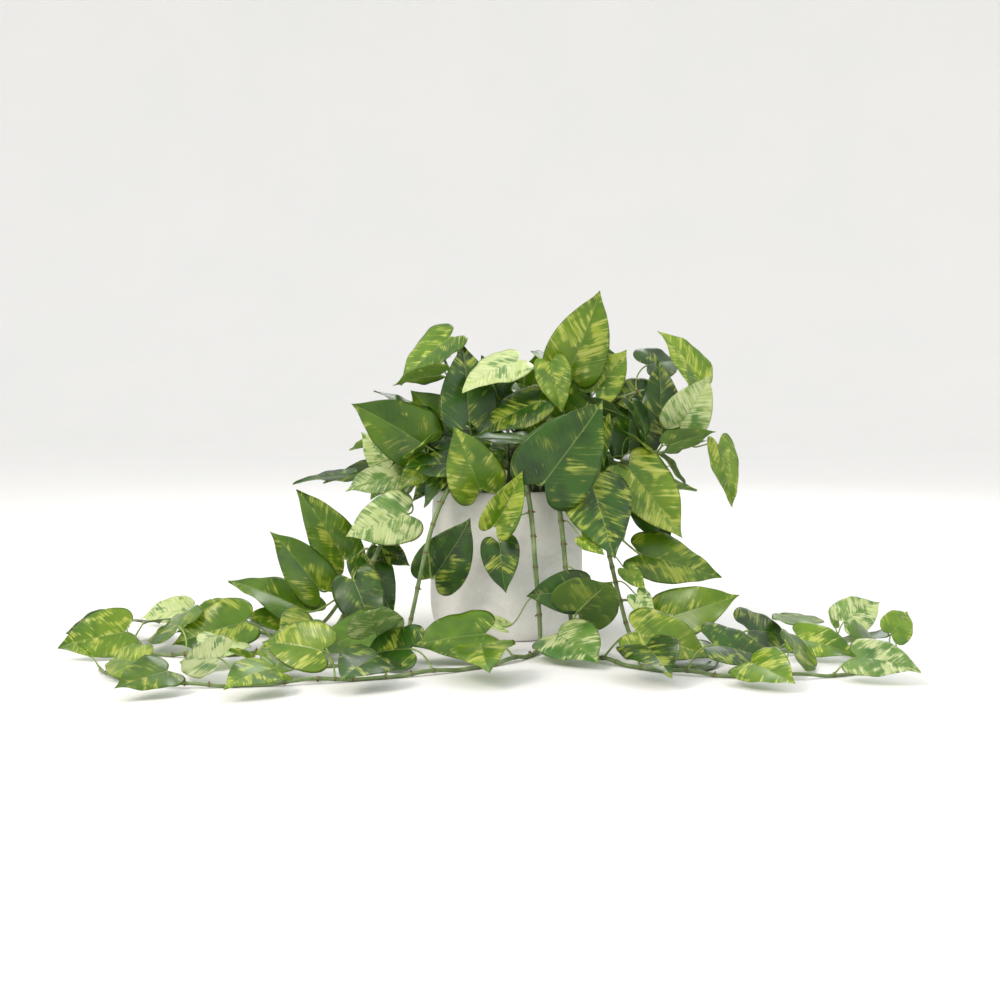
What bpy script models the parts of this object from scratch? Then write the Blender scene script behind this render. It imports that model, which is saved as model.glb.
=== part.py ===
"""A trailing houseplant in a round cement pot: pot, soil, stems, and the leaves that set its outline.

Metres, +Z up. The origin is the centre of the pot's foot, and -Y is the side that faces a viewer.
Places in the tables of stems and leaves are in millimetres.
"""

import math
import random
from itertools import product

import bmesh
import bpy
from mathutils import Matrix, Vector
from mathutils.bvhtree import BVHTree

MM = 0.001
GAP = 0.3 * MM  # left between neighbouring solids

# The pot
POT_HEIGHT = 180 * MM
FOOT_RADIUS = 77 * MM
BELLY_RADIUS = 95 * MM
BELLY_HEIGHT = 50 * MM
RIM_RADIUS = 91 * MM
WALL = 8 * MM
FLOOR = 14 * MM
TURN_STEPS = 40  # facets round the pot and the soil
SIDE_STEPS = 2  # facets down the straight side
ROUND_STEPS = 4  # facets round the foot and over the lip

# The soil
SOIL_EDGE_HEIGHT = 156 * MM
SOIL_CROWN = 4 * MM  # the middle stands this much above the edge
SOCKET_DEPTH = 14 * MM
SOCKET_CLEARANCE = 0.45 * MM
WATERING_SPACE = ((-41, 25, 162), (41, 70, 179))  # mm, kept open above the soil

# The stems: radius at the soil and at the growing tip
VINE_RADII = (3.2 * MM, 1.6 * MM)
SHOOT_RADII = (2.9 * MM, 1.5 * MM)
STEM_SAMPLES = 2  # points to each span of a route

# The leaves
PETIOLE_RADIUS = 1.3 * MM
BLADE_HALF_THICKNESS = 0.8 * MM
BLADE_FLOOR = 1.9 * MM  # the lowest that a blade's middle surface may lie
DUCKS = (0.4, 0.9)  # how far a stalk dips under its blade before it meets it
CLEARANCE = 2.2 * MM  # kept between a leaf and anything that was placed before it
MIDRIB_SOFTNESS = 0.02  # of the length, how round the fold along the midrib is

# Each vine leaves the soil, arches over the rim, comes down beside the pot and lies along the surface.
VINES = {
    "vine_left_outer": [
        (-38, 8, 160), (-46, 6, 195), (-72, 0, 216), (-108, -12, 192), (-140, -24, 150), (-168, -34, 104),
        (-195, -42, 58), (-224, -48, 18), (-262, -50, 0), (-305, -38, 5), (-345, -12, 0), (-378, 24, 5),
        (-398, 68, 0),
    ],
    "vine_left_inner": [
        (-42, -14, 160), (-52, -20, 196), (-78, -36, 214), (-110, -56, 192), (-135, -72, 150),
        (-158, -84, 100), (-184, -94, 50), (-210, -104, 12), (-240, -122, 0), (-272, -156, 5),
        (-310, -180, 0), (-355, -188, 5), (-398, -176, 0), (-432, -148, 5), (-450, -108, 0), (-452, -66, 0),
    ],
    "vine_front_left": [
        (-22, -36, 160), (-27, -52, 193), (-44, -80, 205), (-66, -106, 188), (-84, -124, 150),
        (-97, -136, 100), (-107, -144, 52), (-116, -156, 14), (-126, -182, 0), (-146, -216, 6),
        (-182, -244, 0), (-226, -262, 6), (-268, -284, 0),
    ],
    "vine_front_middle": [
        (8, -40, 160), (10, -60, 194), (16, -86, 204), (24, -110, 186), (30, -126, 145), (34, -136, 92),
        (38, -142, 42), (38, -152, 10), (30, -178, 0), (8, -216, 6), (-30, -256, 0), (-80, -290, 5),
        (-138, -318, 0), (-200, -340, 6), (-262, -356, 0), (-322, -360, 5), (-376, -344, 0),
        (-416, -310, 5), (-438, -264, 0),
    ],
    "vine_front_right": [
        (32, -32, 160), (38, -50, 194), (48, -78, 206), (58, -104, 186), (64, -122, 145), (69, -134, 92),
        (74, -142, 42), (78, -154, 10), (88, -182, 0), (110, -222, 6), (146, -260, 0), (192, -290, 5),
        (246, -308, 0), (302, -312, 6), (354, -296, 0), (398, -264, 5), (428, -220, 0), (440, -172, 0),
    ],
    "vine_right": [
        (46, -10, 160), (56, -18, 194), (76, -36, 210), (98, -58, 188), (113, -76, 148), (124, -92, 98),
        (135, -106, 50), (147, -120, 12), (168, -140, 0), (208, -166, 6), (256, -182, 0), (306, -176, 6),
        (350, -150, 0), (384, -112, 5), (404, -66, 0),
    ],
}

# The crown's own shoots stand up, lean out or arch over behind.
SHOOTS = {
    "shoot_top_left": [
        (-18, -8, 160), (-22, -8, 200), (-32, -8, 245), (-50, -6, 285), (-68, -2, 320), (-80, 4, 346),
    ],
    "shoot_top_middle": [
        (4, -14, 160), (8, -14, 205), (18, -12, 250), (34, -8, 288), (52, -4, 316), (66, 2, 336),
    ],
    "shoot_top_right": [
        (24, -4, 160), (32, -4, 200), (56, -4, 240), (92, -4, 268), (130, -4, 288), (166, -2, 300),
        (196, 2, 306),
    ],
    "shoot_right": [
        (44, 12, 160), (52, 10, 192), (78, 4, 212), (112, -8, 214), (150, -22, 212), (186, -32, 224),
        (218, -38, 236), (242, -40, 240),
    ],
    "shoot_back_left": [
        (-22, 14, 160), (-28, 22, 198), (-48, 46, 222), (-78, 78, 226), (-108, 108, 204), (-132, 132, 166),
        (-146, 148, 122),
    ],
    "shoot_back_middle": [
        (2, 8, 160), (4, 22, 200), (8, 54, 232), (12, 88, 238), (14, 118, 216), (14, 138, 172),
        (12, 148, 122), (8, 152, 76),
    ],
    "shoot_back_right": [
        (22, 14, 160), (30, 24, 200), (56, 52, 226), (90, 82, 228), (122, 108, 206), (146, 126, 168),
        (160, 136, 126),
    ],
}

# The crown's outer leaves, chosen one by one: the stem, the blade's base and tip, the way its face looks,
# its width, how far it bends back and how far it folds along the midrib (degrees), and its tone.
CROWN_LEAVES = [
    ("shoot_top_middle", (79, -8, 327), (116, -14, 422), (0.05, -1, 0.1), 0.85, 16, 14, "lime"),
    ("shoot_top_middle", (12, -22, 336), (-54, -44, 298), (-0.35, -0.6, 0.7), 1.0, 34, 8, "cream"),
    ("shoot_top_left", (-70, 14, 366), (-132, 4, 308), (-0.5, -0.7, 0.5), 0.85, 22, 12, "green"),
    ("shoot_top_left", (-50, -30, 256), (-76, -26, 350), (0.1, -1, 0.15), 0.85, 12, 18, "deep"),
    ("vine_left_outer", (-102, -34, 236), (-187, -40, 286), (-0.1, -0.9, 0.4), 0.9, 14, 12, "green"),
    ("vine_front_middle", (44, -134, 196), (112, -138, 288), (0.1, -1, 0.2), 0.95, 16, 12, "deep"),
    ("vine_front_left", (-36, -104, 186), (-68, -114, 260), (-0.2, -1, 0.25), 0.95, 20, 14, "lime"),
    ("vine_front_middle", (-12, -130, 146), (20, -140, 208), (0.1, -1, 0.1), 0.85, 10, 38, "lime"),
    ("shoot_right", (192, -26, 240), (192, -14, 340), (-0.45, -0.9, 0.1), 0.68, 12, 14, "deep"),
    ("shoot_top_right", (238, 0, 312), (186, -8, 374), (0.3, -0.7, 0.6), 0.8, 30, 16, "lime"),
    ("shoot_right", (210, -42, 258), (246, -50, 318), (0.1, -1, 0.2), 0.95, 14, 16, "cream"),
    ("shoot_right", (257, -42, 236), (276, -48, 162), (0.5, -0.85, 0.1), 0.62, 16, 18, "lime"),
    ("shoot_right", (147, -64, 206), (208, -92, 126), (0.15, -0.95, 0.3), 0.85, 18, 14, "lime"),
    ("vine_front_right", (98, -118, 190), (118, -154, 108), (0.05, -0.9, 0.45), 1.0, 20, 10, "deep"),
    ("vine_right", (160, -84, 106), (254, -96, 78), (0.1, -0.8, 0.6), 0.78, 18, 12, "green"),
    ("vine_right", (188, -112, 36), (272, -122, 68), (0.1, -0.85, 0.5), 0.8, 20, 12, "lime"),
    ("vine_left_outer", (-200, -34, 98), (-254, -38, 182), (0.35, -0.9, 0.2), 0.68, 14, 16, "green"),
    ("vine_left_outer", (-226, -62, 62), (-282, -70, 134), (0.3, -0.9, 0.25), 0.72, 16, 14, "green"),
    ("vine_left_outer", (-234, -80, 36), (-328, -92, 74), (0.1, -0.5, 0.85), 0.75, 18, 12, "green"),
    ("vine_left_inner", (-118, -84, 154), (-190, -100, 130), (-0.1, -0.9, 0.4), 1.0, 16, 8, "cream"),
    ("vine_front_left", (-84, -116, 84), (-40, -124, 152), (0.15, -1, 0.1), 0.9, 14, 12, "deep"),
    ("vine_front_middle", (-8, -118, 122), (-2, -132, 66), (-0.1, -1, 0.1), 0.9, 14, 16, "deep"),
    ("shoot_back_left", (-130, 152, 196), (-186, 204, 150), (-0.5, 0.7, 0.5), 0.9, 20, 12, "green"),
    ("shoot_back_middle", (34, 150, 204), (44, 226, 152), (0, 0.8, 0.6), 0.95, 22, 12, "deep"),
    ("shoot_back_right", (152, 140, 204), (214, 178, 150), (0.6, 0.6, 0.5), 0.9, 20, 12, "lime"),
    ("shoot_back_middle", (-34, 84, 266), (-66, 150, 306), (-0.2, 0.5, 0.85), 0.9, 20, 14, "green"),
    ("shoot_back_right", (76, 66, 262), (112, 118, 316), (0.3, 0.5, 0.8), 0.85, 20, 14, "deep"),
]

# The leaves along the surface follow a rule; the outline needs one in three of them.
TRAIL_START_HEIGHT = 16 * MM  # a vine lies on the surface from here
TRAIL_SPACING = (60 * MM, 44 * MM)  # between nodes, near the pot and near the tip
TRAIL_LENGTHS = (90 * MM, 58 * MM)  # blade lengths, near the pot and near the tip
TRAIL_EVERY = 3
TRAIL_TONES = ("deep", "lime", "green", "cream", "green", "lime", "deep")

# A leaf's outline, row by row: where the row meets the midrib, and its end's place along and across,
# all as fractions of the blade's length
OUTLINE = [
    (0.00, 0.000, 0.000), (0.02, -0.100, 0.095), (0.05, -0.165, 0.190), (0.09, -0.155, 0.310),
    (0.14, -0.070, 0.405), (0.22, 0.085, 0.455), (0.36, 0.300, 0.440), (0.55, 0.530, 0.350),
    (0.74, 0.740, 0.210), (0.89, 0.885, 0.080), (1.00, 1.000, 0.000),
]
BLADE_ROWS = (1.5, 3, 4.2, 5.6, 7, 8.5)  # the rows of OUTLINE that the solid keeps
PETIOLE_SAMPLES = 4

TONES = {
    "deep": (0.035, 0.125, 0.035),
    "green": (0.09, 0.25, 0.05),
    "lime": (0.28, 0.42, 0.09),
    "cream": (0.52, 0.60, 0.33),
}


def clear_scene():
    for old in list(bpy.data.objects):
        bpy.data.objects.remove(old, do_unlink=True)


def material(name, colour, roughness):
    made = bpy.data.materials.new(name)
    made.use_nodes = True
    shader = made.node_tree.nodes["Principled BSDF"]
    shader.inputs["Base Color"].default_value = (*colour, 1)
    shader.inputs["Roughness"].default_value = roughness
    made.diffuse_color = (*colour, 1)
    return made


def add_object(name, data, surface):
    made = bpy.data.objects.new(name, data)
    bpy.context.scene.collection.objects.link(made)
    if surface:
        data.materials.append(surface)
    return made


def smooth_between(a, b, c, d, t):
    """The value this part of the way from b to c, on the smooth curve through all four."""
    return 0.5 * (
        2 * b + (c - a) * t + (2 * a - 5 * b + 4 * c - d) * t**2 + (3 * b - a - 3 * c + d) * t**3
    )


def smooth_curve(points, samples):
    """A curve through all the points, with this many samples to each span."""
    ends = [2 * points[0] - points[1], *points, 2 * points[-1] - points[-2]]
    curve = []
    for a, b, c, d in zip(ends, ends[1:], ends[2:], ends[3:]):
        for step in range(samples):
            t = step / samples
            curve.append(smooth_between(a, b, c, d, t))
    return [*curve, points[-1]]


# ---- Pot and soil ----


def bowl_side(inset, floor, top):
    """(radius, height) down the bowl's side and round to its floor, this far inside its outer surface."""
    side = []
    for step in range(SIDE_STEPS + 1):
        height = top + (BELLY_HEIGHT - top) * step / SIDE_STEPS
        rise = (height - BELLY_HEIGHT) / (POT_HEIGHT - BELLY_HEIGHT)
        side.append((BELLY_RADIUS - (BELLY_RADIUS - RIM_RADIUS) * rise**2 - inset, height))
    for step in range(1, ROUND_STEPS + 1):
        angle = math.pi / 2 * step / ROUND_STEPS
        radius = FOOT_RADIUS + (BELLY_RADIUS - FOOT_RADIUS) * math.cos(angle) - inset
        side.append((radius, BELLY_HEIGHT - (BELLY_HEIGHT - floor) * math.sin(angle)))
    return side


def turned(name, profile, surface):
    """A solid turned round Z. The profile ends on the axis and runs down its outer side."""
    mesh = bpy.data.meshes.new(name)
    mesh.from_pydata([(r, 0, z) for r, z in profile], [(i, i + 1) for i in range(len(profile) - 1)], [])
    made = add_object(name, mesh, surface)
    screw = made.modifiers.new("Turn", "SCREW")
    screw.steps = screw.render_steps = TURN_STEPS
    screw.use_merge_vertices = True
    screw.merge_threshold = 0.01 * MM
    screw.use_smooth_shade = True
    return made


def make_pot():
    lip_height = POT_HEIGHT - WALL / 2
    inside = bowl_side(WALL, FLOOR, lip_height)[::-1]
    outside = bowl_side(0, 0, lip_height)
    lip_middle = (inside[-1][0] + outside[0][0]) / 2
    lip = []
    for step in range(1, ROUND_STEPS):
        angle = math.pi * (1 - step / ROUND_STEPS)
        lip.append((lip_middle + WALL / 2 * math.cos(angle), lip_height + WALL / 2 * math.sin(angle)))
    profile = [(0, FLOOR), *inside, *lip, *outside, (0, 0)]
    return turned("pot", profile, material("white_washed_cement", (0.82, 0.81, 0.79), 0.85))


def make_soil(stems):
    """The potting soil, a gap away from the pot, with a socket where each stem is rooted."""
    side = bowl_side(WALL + GAP, FLOOR + GAP, SOIL_EDGE_HEIGHT)
    edge_radius = side[0][0]
    crown = [(edge_radius * part, SOIL_EDGE_HEIGHT + SOIL_CROWN * (1 - part**2)) for part in (0, 0.4, 0.75)]
    earth = material("potting_soil", (0.06, 0.04, 0.03), 0.95)
    soil = turned("soil", [*crown, *side, (0, FLOOR + GAP)], earth)

    sockets = bmesh.new()
    for path in stems.values():
        (foot, radius), (above, _) = path[:2]
        bmesh.ops.create_cone(
            sockets, cap_ends=True, segments=12, radius1=radius + SOCKET_CLEARANCE,
            radius2=radius + SOCKET_CLEARANCE, depth=2 * SOCKET_DEPTH,
            matrix=Matrix.Translation(above - Vector((0, 0, GAP))),
        )
    mesh = bpy.data.meshes.new("stem_sockets")
    sockets.to_mesh(mesh)
    sockets.free()
    cutter = add_object("stem_sockets", mesh, None)
    cutter.hide_render = True
    cutter.display_type = "WIRE"
    cut = soil.modifiers.new("Sockets", "BOOLEAN")
    cut.object = cutter
    return soil


# ---- Stems ----


def stem_path(route, radii):
    """(point, radius) along a stem, from its foot in the soil to its growing tip."""
    points = smooth_curve([Vector(p) * MM for p in route], STEM_SAMPLES)
    points.insert(0, points[0] - Vector((0, 0, SOCKET_DEPTH)))
    path = []
    for index, point in enumerate(points):
        radius = radii[0] + (radii[1] - radii[0]) * index / (len(points) - 1)
        path.append((Vector((point.x, point.y, max(point.z, radius + GAP))), radius))
    return path


def make_stem(name, path, surface):
    curve = bpy.data.curves.new(name, "CURVE")
    curve.dimensions = "3D"
    curve.bevel_depth = 1
    curve.bevel_resolution = 2
    curve.use_fill_caps = True
    spline = curve.splines.new("POLY")
    spline.points.add(len(path) - 1)
    for place, (point, radius) in zip(spline.points, path):
        place.co = (*point, 1)
        place.radius = radius
    spline.use_smooth = True
    return add_object(name, curve, surface)


def lengths_along(path):
    run = [0]
    for (a, _), (b, _) in zip(path, path[1:]):
        run.append(run[-1] + (b - a).length)
    return run


def at_length(path, length):
    """The point, the direction and the radius of a stem at this length from its foot."""
    run = lengths_along(path)
    length = min(max(length, 0.01 * MM), run[-1] - 0.01 * MM)
    index = next(i for i in range(1, len(run)) if run[i] >= length)
    (a, radius_a), (b, radius_b) = path[index - 1], path[index]
    t = (length - run[index - 1]) / (run[index] - run[index - 1])
    return a.lerp(b, t), (b - a).normalized(), radius_a + (radius_b - radius_a) * t


def nearest_length(path, place):
    """The length along a stem at which it comes nearest to a place."""
    run = lengths_along(path)
    best = (math.inf, 0)
    for index, ((a, _), (b, _)) in enumerate(zip(path, path[1:])):
        along = b - a
        t = min(max((place - a).dot(along) / along.length_squared, 0), 1)
        best = min(best, ((a + along * t - place).length, run[index] + along.length * t))
    return best[1]


# ---- Leaves ----


def soft_floor(height, lowest):
    """Keeps a height above the lowest, easing in over the last few millimetres."""
    ease = 6 * MM
    if height >= lowest + ease:
        return height
    return lowest + ease * math.exp((height - lowest - ease) / ease)


def outline_row(row):
    """The outline at a row number, which may lie between two rows."""
    first = min(int(row), len(OUTLINE) - 2)
    t = row - first
    ends = [OUTLINE[min(max(first + k, 0), len(OUTLINE) - 1)] for k in (-1, 0, 1, 2)]
    return [smooth_between(a, b, c, d, t) for a, b, c, d in zip(*ends)]


def turned_leaf(leaf, yaw, pitch, duck):
    """The same leaf, swung about the place where its stalk leaves the stem, which ducks under its blade."""
    away = leaf["base"] - leaf["root"]
    level = Vector((away.y, -away.x, 0)).normalized() if away.xy.length > MM else Vector((1, 0, 0))
    turn = Matrix.Rotation(math.radians(yaw), 3, "Z") @ Matrix.Rotation(math.radians(pitch), 3, level)
    moved = dict(leaf, duck=duck)
    for key in ("base", "tip"):
        moved[key] = leaf["root"] + turn @ (leaf[key] - leaf["root"])
    moved["face"] = turn @ leaf["face"]
    return moved


def leaf_axes(leaf):
    """The blade's own directions: along its chord, across it, and out of its upper face."""
    along = (leaf["tip"] - leaf["base"]).normalized()
    out = (leaf["face"] - leaf["face"].dot(along) * along).normalized()
    return along, out.cross(along), out


def blade_point(leaf, row, side, grow=0):
    """A point of the blade's middle surface; side runs from -1 to 1 across it."""
    along, across, out = leaf_axes(leaf)
    start, end_x, end_y = outline_row(row)
    x = start + (end_x - start) * abs(side) ** 1.3
    y = end_y * side * leaf["width"]
    bend = math.radians(leaf["bend"])
    chord = 2 * math.sin(bend / 2) / bend
    length = (leaf["tip"] - leaf["base"]).length / chord
    angle = bend * (0.5 - x)
    # along the bent midrib, then across the fold, which the margins bend back from
    forward = (math.sin(bend / 2) - math.sin(angle)) / bend
    upward = (math.cos(angle) - math.cos(bend / 2)) / bend
    rise = math.sin(math.radians(leaf["fold"])) * (math.hypot(y, MIDRIB_SOFTNESS) - MIDRIB_SOFTNESS)
    rise += 0.018 * side**2 * math.sin(7 * x + leaf["phase"]) - 0.35 * y**2
    stretch = 1 + grow / length * 2
    forward = (forward - math.sin(angle) * rise) * stretch
    upward += math.cos(angle) * rise
    sideways = y * math.cos(math.radians(leaf["fold"])) * stretch
    point = leaf["base"] + length * (forward * along + sideways * across + upward * out)
    return Vector((point.x, point.y, soft_floor(point.z, BLADE_FLOOR)))


def blade_normal(leaf, row, side, grow):
    step = 0.05
    ahead = blade_point(leaf, row + step, side, grow) - blade_point(leaf, row - step, side, grow)
    beside = blade_point(leaf, row, side + step, grow) - blade_point(leaf, row, side - step, grow)
    return ahead.cross(beside).normalized()


def petiole_path(leaf, samples):
    """Points along the leaf's stalk, square out of the stem and then up into the blade."""
    along, _, out = leaf_axes(leaf)
    start, end = leaf["start"], leaf["base"]
    reach = (end - start).length
    # it comes in between the lobes, from behind the blade unless its stem runs in front of it
    arrive = (0.9 * along + math.copysign(leaf["duck"], (end - start).dot(out)) * out).normalized()
    leave = (leaf["start"] - leaf["root"]).normalized()
    handle = max(0.4 * reach, 0.2 * (leaf["tip"] - leaf["base"]).length)
    a, b, c, d = start, start + leave * reach * 0.3, end - arrive * handle, end
    points = []
    for step in range(samples + 1):
        t = step / samples
        point = a * (1 - t) ** 3 + 3 * b * t * (1 - t) ** 2 + 3 * c * t**2 * (1 - t) + d * t**3
        points.append(Vector((point.x, point.y, soft_floor(point.z, PETIOLE_RADIUS + GAP))))
    return points, leave, arrive


def leaf_shape(leaf, grow=0):
    """Points and faces of one leaf, stalk and blade: rings of eight points from the stem to the tip."""
    points, leave, arrive = petiole_path(leaf, PETIOLE_SAMPLES)
    directions = [leave]
    directions += [(after - before).normalized() for before, after in zip(points, points[2:])]
    directions.append(arrive)
    out = leaf_axes(leaf)[2]
    rings = []
    for point, direction in zip(points[::-1], directions[::-1]):
        out = (out - out.dot(direction) * direction).normalized()
        left = direction.cross(out)
        turn = [math.pi - math.pi / 4 * k for k in range(8)]
        rings.append([point + PETIOLE_RADIUS * (math.sin(a) * out - math.cos(a) * left) for a in turn])
    rings.reverse()
    half = BLADE_HALF_THICKNESS + grow
    for row in BLADE_ROWS:
        ring = []
        for side, over in ((-1, 0), (-0.5, 1), (0, 1), (0.5, 1), (1, 0), (0.5, -1), (0, -1), (-0.5, -1)):
            thick = over * half * (1 - 0.3 * abs(side))
            ring.append(blade_point(leaf, row, side, grow) + thick * blade_normal(leaf, row, side, grow))
        rings.append(ring)
    verts = [p for ring in rings for p in ring]
    faces = [tuple(range(8))]
    # both faces of the blade are cut along the same diagonals, so they never cross near the margin
    for ring in range(len(rings) - 1):
        for k in range(8):
            a, b = ring * 8 + k, ring * 8 + (k + 1) % 8
            if k % 4 < 2:
                faces += [(b, a, b + 8), (a, a + 8, b + 8)]
            else:
                faces += [(b, a, a + 8), (b, a + 8, b + 8)]
    tip = len(verts)
    verts.append(blade_point(leaf, len(OUTLINE) - 1, 0, grow))
    last = tip - 8
    faces += [(last + (k + 1) % 8, last + k, tip) for k in range(8)]
    return verts, faces


def planned_leaf(path, base, tip, face, width, bend, fold, phase, attach=None):
    """A leaf on a stem. Its stalk leaves the stem a little nearer the root than the blade's base."""
    if attach is None:
        length = nearest_length(path, base)
        attach = length - 0.6 * (at_length(path, length)[0] - base).length - 8 * MM
    root, direction, radius = at_length(path, attach)
    away = base - root
    away = (away - away.dot(direction) * direction).normalized()
    start = root + away * (radius + 1.5 * GAP)
    return {
        "root": root, "start": start, "base": base, "tip": tip, "face": Vector(face).normalized(),
        "width": width, "bend": bend, "fold": fold, "phase": phase,
    }


def crown_leaves(paths):
    counts = {}
    for stem, base, tip, face, width, bend, fold, tone in CROWN_LEAVES:
        counts[stem] = counts.get(stem, 0) + 1
        leaf = planned_leaf(
            paths[stem], Vector(base) * MM, Vector(tip) * MM, face, width, bend, fold, counts[stem]
        )
        yield f"{stem}_leaf_{counts[stem]}", leaf, tone


def trail_leaves(paths):
    """Leaves to the left and right of each vine in turn, from where it reaches the surface to its tip."""
    for vine, name in enumerate(VINES):
        path = paths[name]
        run = lengths_along(path)
        landed = next(i for i, (p, _) in enumerate(path) if i > 4 and p.z < TRAIL_START_HEIGHT)
        length, count = run[landed] + 12 * MM, 0
        while length < run[-1] - 20 * MM:
            part = (length - run[landed]) / (run[-1] - run[landed])
            draw = random.Random(100 * vine + count).uniform
            size = (TRAIL_LENGTHS[0] + (TRAIL_LENGTHS[1] - TRAIL_LENGTHS[0]) * part) * draw(0.92, 1.08)
            root, forward, _ = at_length(path, length)
            side = 1 if (vine + count) % 2 else -1
            swing = Matrix.Rotation(side * math.radians(draw(42, 74)), 3, "Z")
            heading = swing @ Vector((forward.x, forward.y, 0)).normalized()
            height = draw(0.30, 0.42) * size
            base = root + heading * size * draw(0.34, 0.46)
            base.z = height
            drop = draw(0.35, 1.0) * (height - 6 * MM)
            onward = (Matrix.Rotation(-side * math.radians(draw(0, 25)), 3, "Z") @ heading) * size
            tip = base + onward * math.sqrt(1 - (drop / size) ** 2) - Vector((0, 0, drop))
            face = Vector((draw(-0.25, 0.25), draw(-0.95, -0.5), draw(0.55, 0.8)))
            leaf = planned_leaf(
                path, base, tip, face, draw(0.82, 0.98), draw(14, 28), draw(8, 18), draw(0, 6), length
            )
            if count % TRAIL_EVERY == 0:
                tone = TRAIL_TONES[(vine + count) % len(TRAIL_TONES)]
                yield f"{name}_leaf_on_surface_{count // TRAIL_EVERY + 1}", leaf, tone
            length += TRAIL_SPACING[0] + (TRAIL_SPACING[1] - TRAIL_SPACING[0]) * part
            count += 1


def swings():
    """The turns a leaf may make to find room, the smallest first, each with a flat and a deep stalk."""
    for size in (0, 4, 8, 12, 17, 23, 31, 40, 52, 66):
        for step in range(8 if size else 1):
            angle = math.pi / 4 * step
            for duck in DUCKS:
                yield size * math.cos(angle), size * math.sin(angle), duck


def solid_tree(made):
    graph = bpy.context.evaluated_depsgraph_get()
    evaluated = made.evaluated_get(graph)
    mesh = evaluated.to_mesh()
    verts = [v.co.copy() for v in mesh.vertices]
    tree = BVHTree.FromPolygons(verts, [tuple(p.vertices) for p in mesh.polygons])
    evaluated.to_mesh_clear()
    return tree


def box_tree(low, high):
    sides = zip(low, high)
    verts = [Vector(corner) * MM for corner in product(*sides)]
    faces = [(0, 1, 3, 2), (4, 6, 7, 5), (0, 4, 5, 1), (2, 3, 7, 6), (0, 2, 6, 4), (1, 5, 7, 3)]
    return BVHTree.FromPolygons(verts, faces)


def touches_itself(verts, faces):
    tree = BVHTree.FromPolygons(verts, faces)
    return any(not set(faces[a]) & set(faces[b]) for a, b in tree.overlap(tree))


def make_leaf(name, leaf, surface, taken):
    """Adds a leaf, turned as little as it takes to stay clear of everything placed before it."""
    for yaw, pitch, duck in swings():
        trial = turned_leaf(leaf, yaw, pitch, duck)
        verts, faces = leaf_shape(trial)
        fat = BVHTree.FromPolygons(*leaf_shape(trial, CLEARANCE))
        if not touches_itself(verts, faces) and not any(fat.overlap(other) for other in taken):
            break
    else:
        print(f"{name} found no room")
        return
    mesh = bpy.data.meshes.new(name)
    mesh.from_pydata(verts, [], faces)
    mesh.shade_smooth()
    mesh.set_sharp_from_angle(angle=math.radians(50))
    add_object(name, mesh, surface)
    taken.append(BVHTree.FromPolygons(verts, faces))


def main():
    clear_scene()
    paths = {name: stem_path(route, VINE_RADII) for name, route in VINES.items()}
    paths |= {name: stem_path(route, SHOOT_RADII) for name, route in SHOOTS.items()}

    green_stem = material("green_stem", (0.16, 0.27, 0.07), 0.5)
    solids = [make_pot(), make_soil(paths)]
    solids += [make_stem(name, path, green_stem) for name, path in paths.items()]
    bpy.context.view_layer.update()
    taken = [solid_tree(made) for made in solids]
    taken.append(box_tree(*WATERING_SPACE))

    surfaces = {tone: material(f"{tone}_leaf", colour, 0.4) for tone, colour in TONES.items()}
    for name, leaf, tone in [*crown_leaves(paths), *trail_leaves(paths)]:
        make_leaf(name, leaf, surfaces[tone], taken)


main()
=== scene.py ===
# A pothos in a round cement pot. Its crown hides the rim, and six vines come down round the pot and trail
# over the surface that it stands on. Metres, +Z up, -Y towards the viewer. Places in the tables are in mm.

import math
import random

import bpy
import numpy as np
from mathutils import Matrix, Vector, noise
from mathutils.bvhtree import BVHTree


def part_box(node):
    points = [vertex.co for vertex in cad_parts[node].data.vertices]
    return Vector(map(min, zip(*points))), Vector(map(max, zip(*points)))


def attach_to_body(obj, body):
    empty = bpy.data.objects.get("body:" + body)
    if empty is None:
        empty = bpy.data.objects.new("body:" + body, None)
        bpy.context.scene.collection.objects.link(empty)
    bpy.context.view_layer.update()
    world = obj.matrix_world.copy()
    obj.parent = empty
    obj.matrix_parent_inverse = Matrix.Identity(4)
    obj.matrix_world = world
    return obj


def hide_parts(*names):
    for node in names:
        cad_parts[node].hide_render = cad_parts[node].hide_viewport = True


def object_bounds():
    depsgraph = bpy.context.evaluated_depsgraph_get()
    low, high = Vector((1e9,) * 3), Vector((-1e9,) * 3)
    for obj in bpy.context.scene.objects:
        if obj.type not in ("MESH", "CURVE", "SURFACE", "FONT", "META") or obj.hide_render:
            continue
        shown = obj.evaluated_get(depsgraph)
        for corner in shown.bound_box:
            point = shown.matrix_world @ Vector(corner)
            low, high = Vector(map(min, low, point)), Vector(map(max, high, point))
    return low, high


mm = 0.001
gap = 0.3 * mm  # left between neighbouring solids

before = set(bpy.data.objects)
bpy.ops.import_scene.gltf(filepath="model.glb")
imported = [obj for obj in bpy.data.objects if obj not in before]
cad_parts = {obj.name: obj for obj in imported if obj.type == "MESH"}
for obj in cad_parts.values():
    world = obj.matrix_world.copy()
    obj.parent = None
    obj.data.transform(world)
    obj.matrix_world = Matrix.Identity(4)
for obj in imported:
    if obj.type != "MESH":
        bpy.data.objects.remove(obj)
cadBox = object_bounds()
scene = bpy.context.scene


# Small helpers


def colour(code):
    # an sRGB hex code as the linear colour that a shader takes
    parts = [int(code[i : i + 2], 16) / 255 for i in (1, 3, 5)]
    return [p / 12.92 if p <= 0.04045 else ((p + 0.055) / 1.055) ** 2.4 for p in parts] + [1]


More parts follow.
